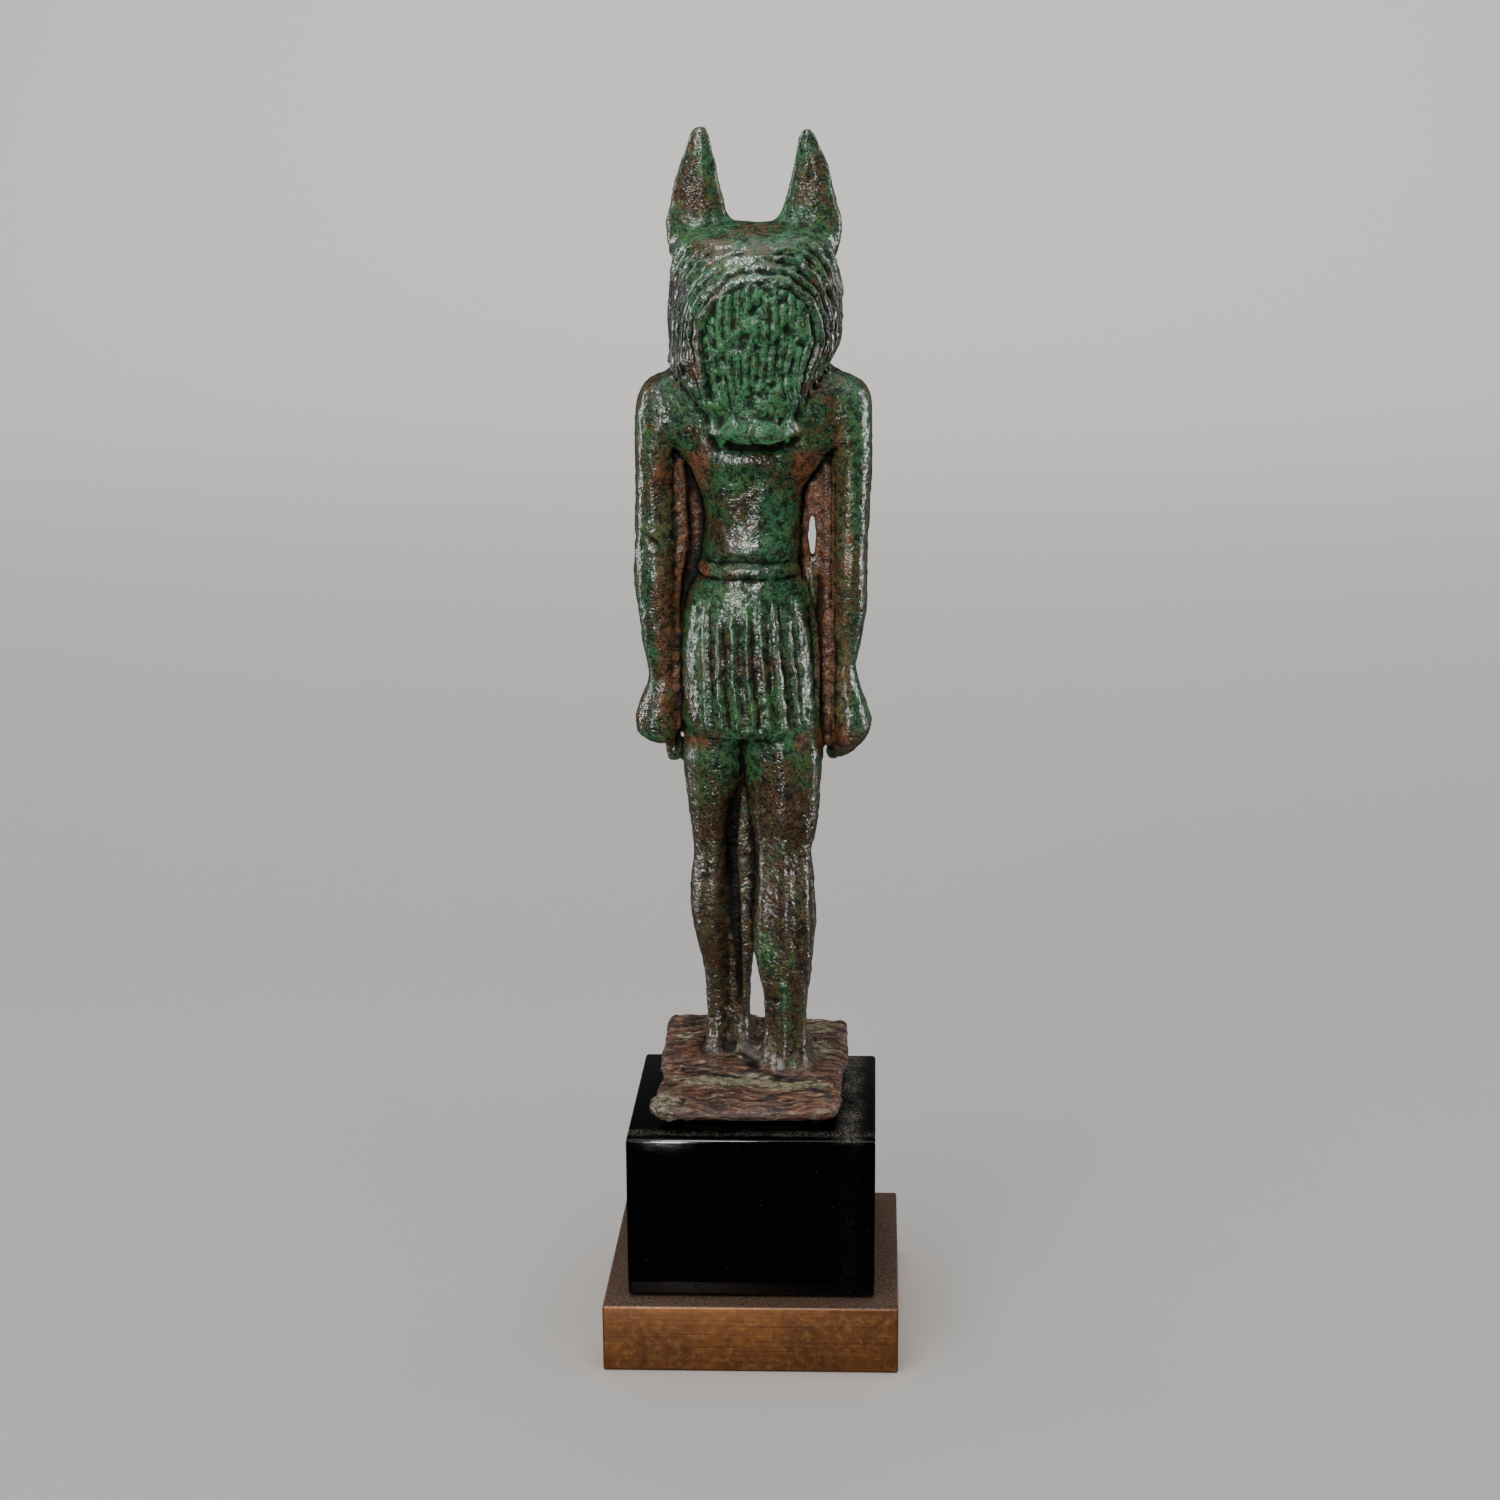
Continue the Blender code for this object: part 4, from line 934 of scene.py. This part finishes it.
patinaValues = {
    "malachite": "#4b9862", "emerald": "#60b878", "deepGreen": "#193a1f", "paleGreen": "#93b592",
    "yellowGreen": "#7d9c46", "darkBrown": "#261b10", "brown": "#735b38", "redBrown": "#62371f",
    "olive": "#645f33", "rust": "#bd6f40", "black": "#040503", "silvery": "#93948a", "slate": "#161b17",
    "lockGrey": "#565a52", "brightGreen": "#5c9a3c", "plateRed": "#6f4432", "platePink": "#a67f6a",
    "plateCream": "#d3c6a4", "plateGreen": "#7f8358", "plateDark": "#150e08",
}


def makePatina(values):
    # Tin bronze, cast and long buried: malachite green over dark tin oxide and red copper oxide,
    # waxed, so it is mottled in fine spots and shines on every ridge.
    material, node, inMm = startMaterial("waxed bronze patina", values)
    names = "hollow deep brown green ruddy plate panel locks lockRun pleat cream stain".split()
    hollow, deep, browner, greener, ruddy, onPlate, onPanel, locks, lockRun, pleat, cream, stain = (
        node("mark", attribute_name=name) for name in names)
    # Patches 6 mm and 3 mm across, mottling of 1.2 mm, crust of 0.7 mm and speckle of 0.3 mm.
    patches = node("noise", inMm, 0.17, 4.0, 0.6)
    patchesTwo = node("noise", node("placed", inMm, (31.0, 17.0, 5.0)), 0.34, 5.0, 0.65)
    mottle = node("noise", inMm, 0.8, 6.0, 0.72)
    crust = node("noise", node("placed", inMm, (3.0, 40.0, 12.0), (1.0, 1.0, 2.1)), 1.5, 4.0, 0.6, 0.8)
    speckle = node("noise", inMm, 3.0, 3.0, 0.6)
    mottled = node("soft", mottle, 0.42, 0.60)
    centred = node("subtract", mottle, 0.5)

    green = node("mix", mottled, "deepGreen", "malachite")
    green = node("mix", node("soft", crust, 0.56, 0.66, 0.0, 0.6), green, "paleGreen")
    green = node("mix", node("soft", patchesTwo, 0.52, 0.64, 0.0, 0.45), green, "yellowGreen")
    share = node("multiply", onPanel, node("soft", mottle, 0.42, 0.60, 0.1, 0.8))
    green = node("mix", share, green, "emerald")
    brown = node("mix", mottled, "darkBrown", "brown")
    brown = node("mix", node("soft", patchesTwo, 0.50, 0.60, 0.0, 0.75), brown, "redBrown")
    brown = node("mix", node("soft", patchesTwo, 0.47, 0.40, 0.0, 0.7), brown, "olive")
    # brown where the patches say so, more on the legs, less on the wig's panel
    lean = node("add", patches, node("multiply", browner, 0.20))
    lean = node("add", lean, node("multiply", centred, 0.75))
    lean = node("subtract", lean, node("multiply", onPanel, 0.16))
    lean = node("subtract", lean, node("multiply", greener, 0.28))
    colour = node("mix", node("soft", lean, 0.49, 0.64), green, brown)
    share = node("multiply", greener, node("soft", mottle, 0.42, 0.58, 0.1, 0.75))
    colour = node("mix", share, colour, "brightGreen")
    # the grey lines along the crests of the locks at the wig's sides are a painted highlight over the dark
    # slate
    striae = node("sine", node("multiply", lockRun, 14.0))
    strands = node("multiply", node("soft", striae, 0.1, 0.9), node("soft", crust, 0.42, 0.60))
    strands = node("mix", strands, "slate", "lockGrey")
    colour = node("mix", node("multiply", locks, 0.85), colour, strands)
    crests = node("multiply", node("soft", pleat, 0.25, 0.7), node("soft", mottle, 0.40, 0.58, 0.1, 0.75))
    colour = node("mix", crests, colour, "paleGreen")
    fluted = node("soft", pleat, -0.15, -0.7)
    fluted = node("multiply", fluted, node("soft", patchesTwo, 0.40, 0.58, 0.25, 0.9))
    flute = node("mix", node("soft", mottle, 0.45, 0.6), "darkBrown", "redBrown")
    colour = node("mix", fluted, colour, flute)
    rusty = node("mix", node("soft", mottle, 0.40, 0.60), "redBrown", "rust")
    rusty = node("mix", node("soft", crust, 0.48, 0.60, 0.0, 0.75), rusty, "platePink")
    colour = node("mix", node("multiply", ruddy, 0.92), colour, rusty)
    colour = node("mix", node("soft", speckle, 0.53, 0.64, 0.0, 0.80), colour, "black")
    colour = node("mix", node("soft", speckle, 0.44, 0.36, 0.0, 0.20), colour, "paleGreen")
    # layers across the plate, that swirl a little, with cream crust, dark stains and painted shade between
    # the feet
    swirl = node("noise", inMm, 0.11, 1.0).node.outputs["Color"]
    drawn = node("placed", node("shifted", swirl, (4.0, 9.0, 0.0), inMm), (0.0, 0.0, 0.0), (0.20, 1.1, 1.6))
    layers = node("noise", drawn, 1.0, 7.0, 0.68, 0.5)
    plate = node("mix", node("soft", layers, 0.40, 0.50), "plateDark", "plateRed")
    plate = node("mix", node("soft", layers, 0.50, 0.58, 0.0, 0.8), plate, "platePink")
    oxide = node("mix", node("soft", layers, 0.42, 0.56), "redBrown", "rust")
    plate = node("mix", node("soft", patchesTwo, 0.50, 0.60, 0.0, 0.75), plate, oxide)
    share = node("add", cream, node("multiply", node("subtract", layers, 0.5), 3.0))
    share = node("add", share, node("multiply", node("subtract", patchesTwo, 0.5), 1.2))
    lime = node("mix", node("soft", mottle, 0.42, 0.58), "plateGreen", "plateCream")
    plate = node("mix", node("soft", share, 0.16, 0.60, 0.0, 0.9), plate, lime)
    # dark stains, and painted shade between the feet
    share = node("add", stain, node("multiply", centred, 1.2))
    plate = node("mix", node("soft", share, 0.35, 0.75, 0.0, 0.85), plate, "plateDark")
    plate = node("mix", node("soft", speckle, 0.53, 0.66, 0.0, 0.7), plate, "plateDark")
    colour = node("mix", onPlate, colour, plate)
    # painted shade darkens grooves and crevices to black, and ridges are rubbed to silver with a painted
    # highlight
    colour = node("mix", node("soft", hollow, 0.10, 0.70, 0.0, 0.85), colour, "black")
    colour = node("mix", node("soft", deep, 0.30, 1.0, 0.0, 0.85), colour, "black")
    # the silver on the ridges is partly rubbed wear and partly a painted highlight
    rubbed = node("multiply", node("soft", hollow, -0.35, -0.9), node("soft", crust, 0.42, 0.60, 0.0, 0.30))
    rubbed = node("multiply", rubbed, node("subtract", 1.0, onPlate))
    colour = node("mix", rubbed, colour, "silvery")
    # The wax doesn't reach the bottoms of the grooves, and it is thin on the webs, on the wig's panel
    # and on the ears between root and tip.
    height = node("split", inMm)
    onEars = node("multiply", node("soft", height, 159.0, 164.0), node("soft", height, 173.5, 171.0))
    thin = node("add", node("multiply", ruddy, 0.7), node("multiply", onPanel, 0.5))
    thin = node("add", thin, node("multiply", onEars, 0.55))
    waxed = node("multiply", node("soft", hollow, 0.0, 0.6, 0.85, 0.05), node("subtract", 1.0, thin))
    # The wax is crinkled in soft facets of 0.7 mm, each with a glint. Under it the skin is pitted in
    # grains of 0.3 mm over crust of 0.7 mm and dents of 1.2 mm, and the plate is layered.
    facets = node("noise", node("placed", inMm, (7.0, 3.0, 19.0), (1.0, 1.0, 1.5)), 1.4, 2.0, 0.5, 0.6)
    wax = node("bump", facets, node("soft", browner, 0.0, 1.0, 0.42, 0.75), 0.00036)
    wax = node("bump", layers, onPlate, 0.0005, wax)
    wax = node("bump", striae, locks, 0.00010, wax)
    skin = node("bump", speckle, 0.5, 0.00006, wax)
    skin = node("bump", crust, 0.8, 0.00018, skin)
    skin = node("bump", mottle, 0.7, 0.00026, skin)
    return feedNode(material, "Principled BSDF", {
        "Base Color": colour, "Roughness": node("soft", mottle, 0.35, 0.65, 0.50, 0.70),
        "Metallic": node("add", node("soft", lean, 0.50, 0.62, 0.02, 0.16), node("multiply", locks, 0.15)),
        "Specular IOR Level": 0.12, "Normal": skin, "Coat Weight": waxed,
        "Coat Roughness": node("soft", browner, 0.0, 1.0, 0.19, 0.09), "Coat Normal": wax})


casting.data.materials.clear()
casting.data.materials.append(makePatina(patinaValues))
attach(casting, "root")
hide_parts("anubis_figure")
print("the casting has its patina")

# The block and the slab under it.
blockValues = {"node": "lacquered_block", "edge": 0.5, "black": "#020202", "dust": "#a39c8f",
               "speck": "#6a6864"}
slabValues = {"node": "brass_slab", "edge": 0.35, "brass": "#9a602f", "gold": "#b4803c", "dull": "#61391d",
              "dust": "#7d7064", "soil": "#392e26"}


def boxPiece(name, values):
    low, high = (Vector(corner) * 1000 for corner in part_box(values["node"]))
    deselectAll()
    bpy.ops.mesh.primitive_cube_add(size=1.0)
    piece = bpy.context.active_object
    piece.name = name
    piece.data.name = name
    bpy.ops.object.mode_set(mode="EDIT")
    bpy.ops.mesh.select_all(action="SELECT")
    bpy.ops.transform.resize(value=high - low, center_override=(0.0, 0.0, 0.0))
    bpy.ops.transform.translate(value=(low + high) / 2)
    bpy.ops.mesh.bevel(offset=values["edge"], segments=4, affect="EDGES")
    bpy.ops.mesh.normals_make_consistent(inside=False)
    bpy.ops.object.mode_set(mode="OBJECT")
    piece.data.transform(Matrix.Scale(0.001, 4))
    piece.data.update()
    bpy.ops.object.shade_smooth_by_angle(angle=math.radians(40))
    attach(piece, "root")
    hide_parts(values["node"])
    return piece


def makeLacquer(values):
    # Wood under many coats of black lacquer, polished: a dark mirror with a little dust and specks.
    material, node, inMm = startMaterial("polished black lacquer", values)
    sides = node("split", inMm).node.outputs
    cloud = node("noise", inMm, 0.16, 5.0, 0.65)
    cells = node("cells", inMm, 0.85).node.outputs
    # dust lies in a line along the bronze plate's back edge and in a band along its right side
    bands = []
    for axis, offset, inner, outer in (("Y", -15.2, 0.5, 1.6), ("X", 14.2, 0.3, 2.9)):
        gap = node("absolute", node("add", sides[axis], offset))
        bands.append(node("soft", gap, outer, inner))
    dusty = node("multiply", node("maximum", *bands), node("even", cloud, 0.36, 0.66, 0.0, 0.9))
    dusty = node("multiply", dusty, node("even", node("noise", inMm, 3.2, 2.0), 0.42, 0.66, 0.05))
    dusty = node("multiply", dusty, node("even", sides["Z"], 33.6, 34.2, 0.05, 1.0))
    chosen = node("greater_than", node("channel", cells["Color"]), 0.72)
    specks = node("multiply", node("even", cells["Distance"], 0.07, 0.04), chosen)
    colour = node("mix", specks, node("mix", dusty, "black", "dust"), "speck")
    return feedNode(material, "Principled BSDF", {
        "Base Color": colour, "Roughness": node("even", dusty, 0.0, 0.3, 0.09, 0.45),
        "Specular IOR Level": 0.25, "Normal": node("bump", cloud, 0.06, 0.0004)})


def makeBrass(values):
    # Flat brass bar, brushed along its length and gone dull: warm streaks, darker stains, dust on top.
    material, node, inMm = startMaterial("brushed brass bar", values)
    # Brush lines are 0.2 mm apart and tens of millimetres long.
    lines = node("noise", node("placed", inMm, (0.0, 0.0, 0.0), (0.03, 0.03, 2.4)), 1.0, 4.0, 0.7)
    stains = node("noise", node("placed", inMm, (0.0, 0.0, 0.0), (0.13, 0.13, 0.10)), 1.0, 4.0, 0.6)
    cloud = node("noise", inMm, 0.8, 6.0, 0.78)
    colour = node("mix", node("even", stains, 0.40, 0.66, 0.0, 0.50), "brass", "dull")
    colour = node("mix", node("even", cloud, 0.50, 0.64, 0.0, 0.55), colour, "gold")
    colour = node("mix", node("even", lines, 0.45, 0.62, 0.0, 0.45), colour, "dull")
    top = node("multiply", node("even", node("split", inMm), 9.75, 9.98),
               node("even", cloud, 0.38, 0.58, 0.35))
    dust = node("mix", node("even", node("noise", inMm, 2.2, 3.0, 0.75), 0.42, 0.60), "soil", "dust")
    return feedNode(material, "Principled BSDF", {
        "Base Color": node("mix", top, colour, dust), "Metallic": node("even", top, 0.0, 0.8, 0.5, 0.15),
        "Roughness": node("even", cloud, 0.35, 0.65, 0.34, 0.58),
        "Normal": node("bump", lines, 0.35, 0.00004)})


block = boxPiece("lacquer_plinth", blockValues)
block.data.materials.append(makeLacquer(blockValues))
slab = boxPiece("brass_foot", slabValues)
slab.data.materials.append(makeBrass(slabValues))
print("the block and the slab are in")

# A pale sweep under one large soft light. Strips at both sides draw the edges. The lights that only
# shine make no shading, just the glints on the wax. Each is place, aim, size, power and whether it
# only shines.
middle = (0.0, 0.0, 0.10)
studioValues = {
    "floor": "#eceae6", "room": "#cfd2d6", "roomStrength": 0.09, "wallStrength": 0.45,
    "floorSize": 5.0, "wallHigh": 3.0, "sweep": 1.4,
    "lights": {
        "overhead": ((0.0, 0.10, 1.25), (0.0, 0.0, 0.0), (1.5, 1.2), 11.0, False),
        "backdrop": ((0.0, -1.0, 1.3), (0.0, -2.4, 0.4), (2.4, 0.3), 22.0, False),
        "fill": ((0.45, 0.75, 0.55), middle, (0.5, 0.5), 1.2, False),
        "right strip": ((-0.40, -0.11, 0.16), middle, (0.025, 0.45), 2.1, True),
        "left strip": ((0.40, -0.11, 0.16), middle, (0.025, 0.45), 1.8, True),
        "key": ((0.10, 0.45, 0.62), middle, (0.14, 0.14), 4.6, True),
        "near strip": ((0.18, 0.80, 0.12), middle, (0.05, 0.44), 5.6, True),
    },
}


def addLight(name, place, aim, size, power, shineOnly):
    data = bpy.data.lights.new(name, "AREA")
    data.shape = "RECTANGLE"
    data.size, data.size_y = size
    data.energy = power
    light = bpy.data.objects.new(name, data)
    bpy.context.scene.collection.objects.link(light)
    light.location = place
    light.rotation_euler = (Vector(aim) - Vector(place)).to_track_quat("-Z", "Y").to_euler()
    light.visible_camera = False
    light.visible_diffuse = not shineOnly


def chooseEdges(mesh, chosen):
    for face in mesh.polygons:
        face.select = False
    for point in mesh.vertices:
        point.select = chosen(point.co)
    for edge in mesh.edges:
        edge.select = all(chosen(mesh.vertices[i].co) for i in edge.vertices)


def buildStudio(values):
    deselectAll()
    bpy.ops.mesh.primitive_plane_add(size=values["floorSize"], location=(0.0, 0.0, 0.0))
    floor = bpy.context.active_object
    floor.name = "floor"
    chooseEdges(floor.data, lambda place: place.y < 0)
    bpy.ops.object.mode_set(mode="EDIT")
    bpy.ops.mesh.select_mode(type="EDGE")
    bpy.ops.mesh.extrude_region_move(TRANSFORM_OT_translate={"value": (0.0, 0.0, values["wallHigh"])})
    bpy.ops.object.mode_set(mode="OBJECT")
    chooseEdges(floor.data, lambda place: place.y < 0 and place.z < 0.1)
    bpy.ops.object.mode_set(mode="EDIT")
    bpy.ops.mesh.bevel(offset=values["sweep"], segments=24, affect="EDGES")
    bpy.ops.object.mode_set(mode="OBJECT")
    bpy.ops.object.shade_smooth()
    # matt painted board, pale and with no shine
    material = startMaterial("matt pale board", values)[0]
    floor.data.materials.append(feedNode(material, "Principled BSDF", {
        "Base Color": hexColour(values["floor"]), "Roughness": 0.9, "Specular IOR Level": 0.0}))
    # the polished and waxed surfaces mirror a dim room, so their darks stay dark
    floor.visible_glossy = False
    world = bpy.data.worlds.new("studio")
    world.use_nodes = True
    node = partial(addNode, world.node_tree, values)
    # the camera sees a paler wall than the one that lights the work
    room = {"Color": hexColour(values["room"]), "Strength": values["roomStrength"]}
    dim = feedNode(world, "Background", room).node_tree.nodes["Background"].outputs[0]
    seen = node("both", node("ray"), dim, node("glow", "room", values["wallStrength"]))
    feedNode(world, "World Output", {"Surface": seen})
    bpy.context.scene.world = world
    for name, light in values["lights"].items():
        addLight(name, *light)


buildStudio(studioValues)
print("the studio is lit")
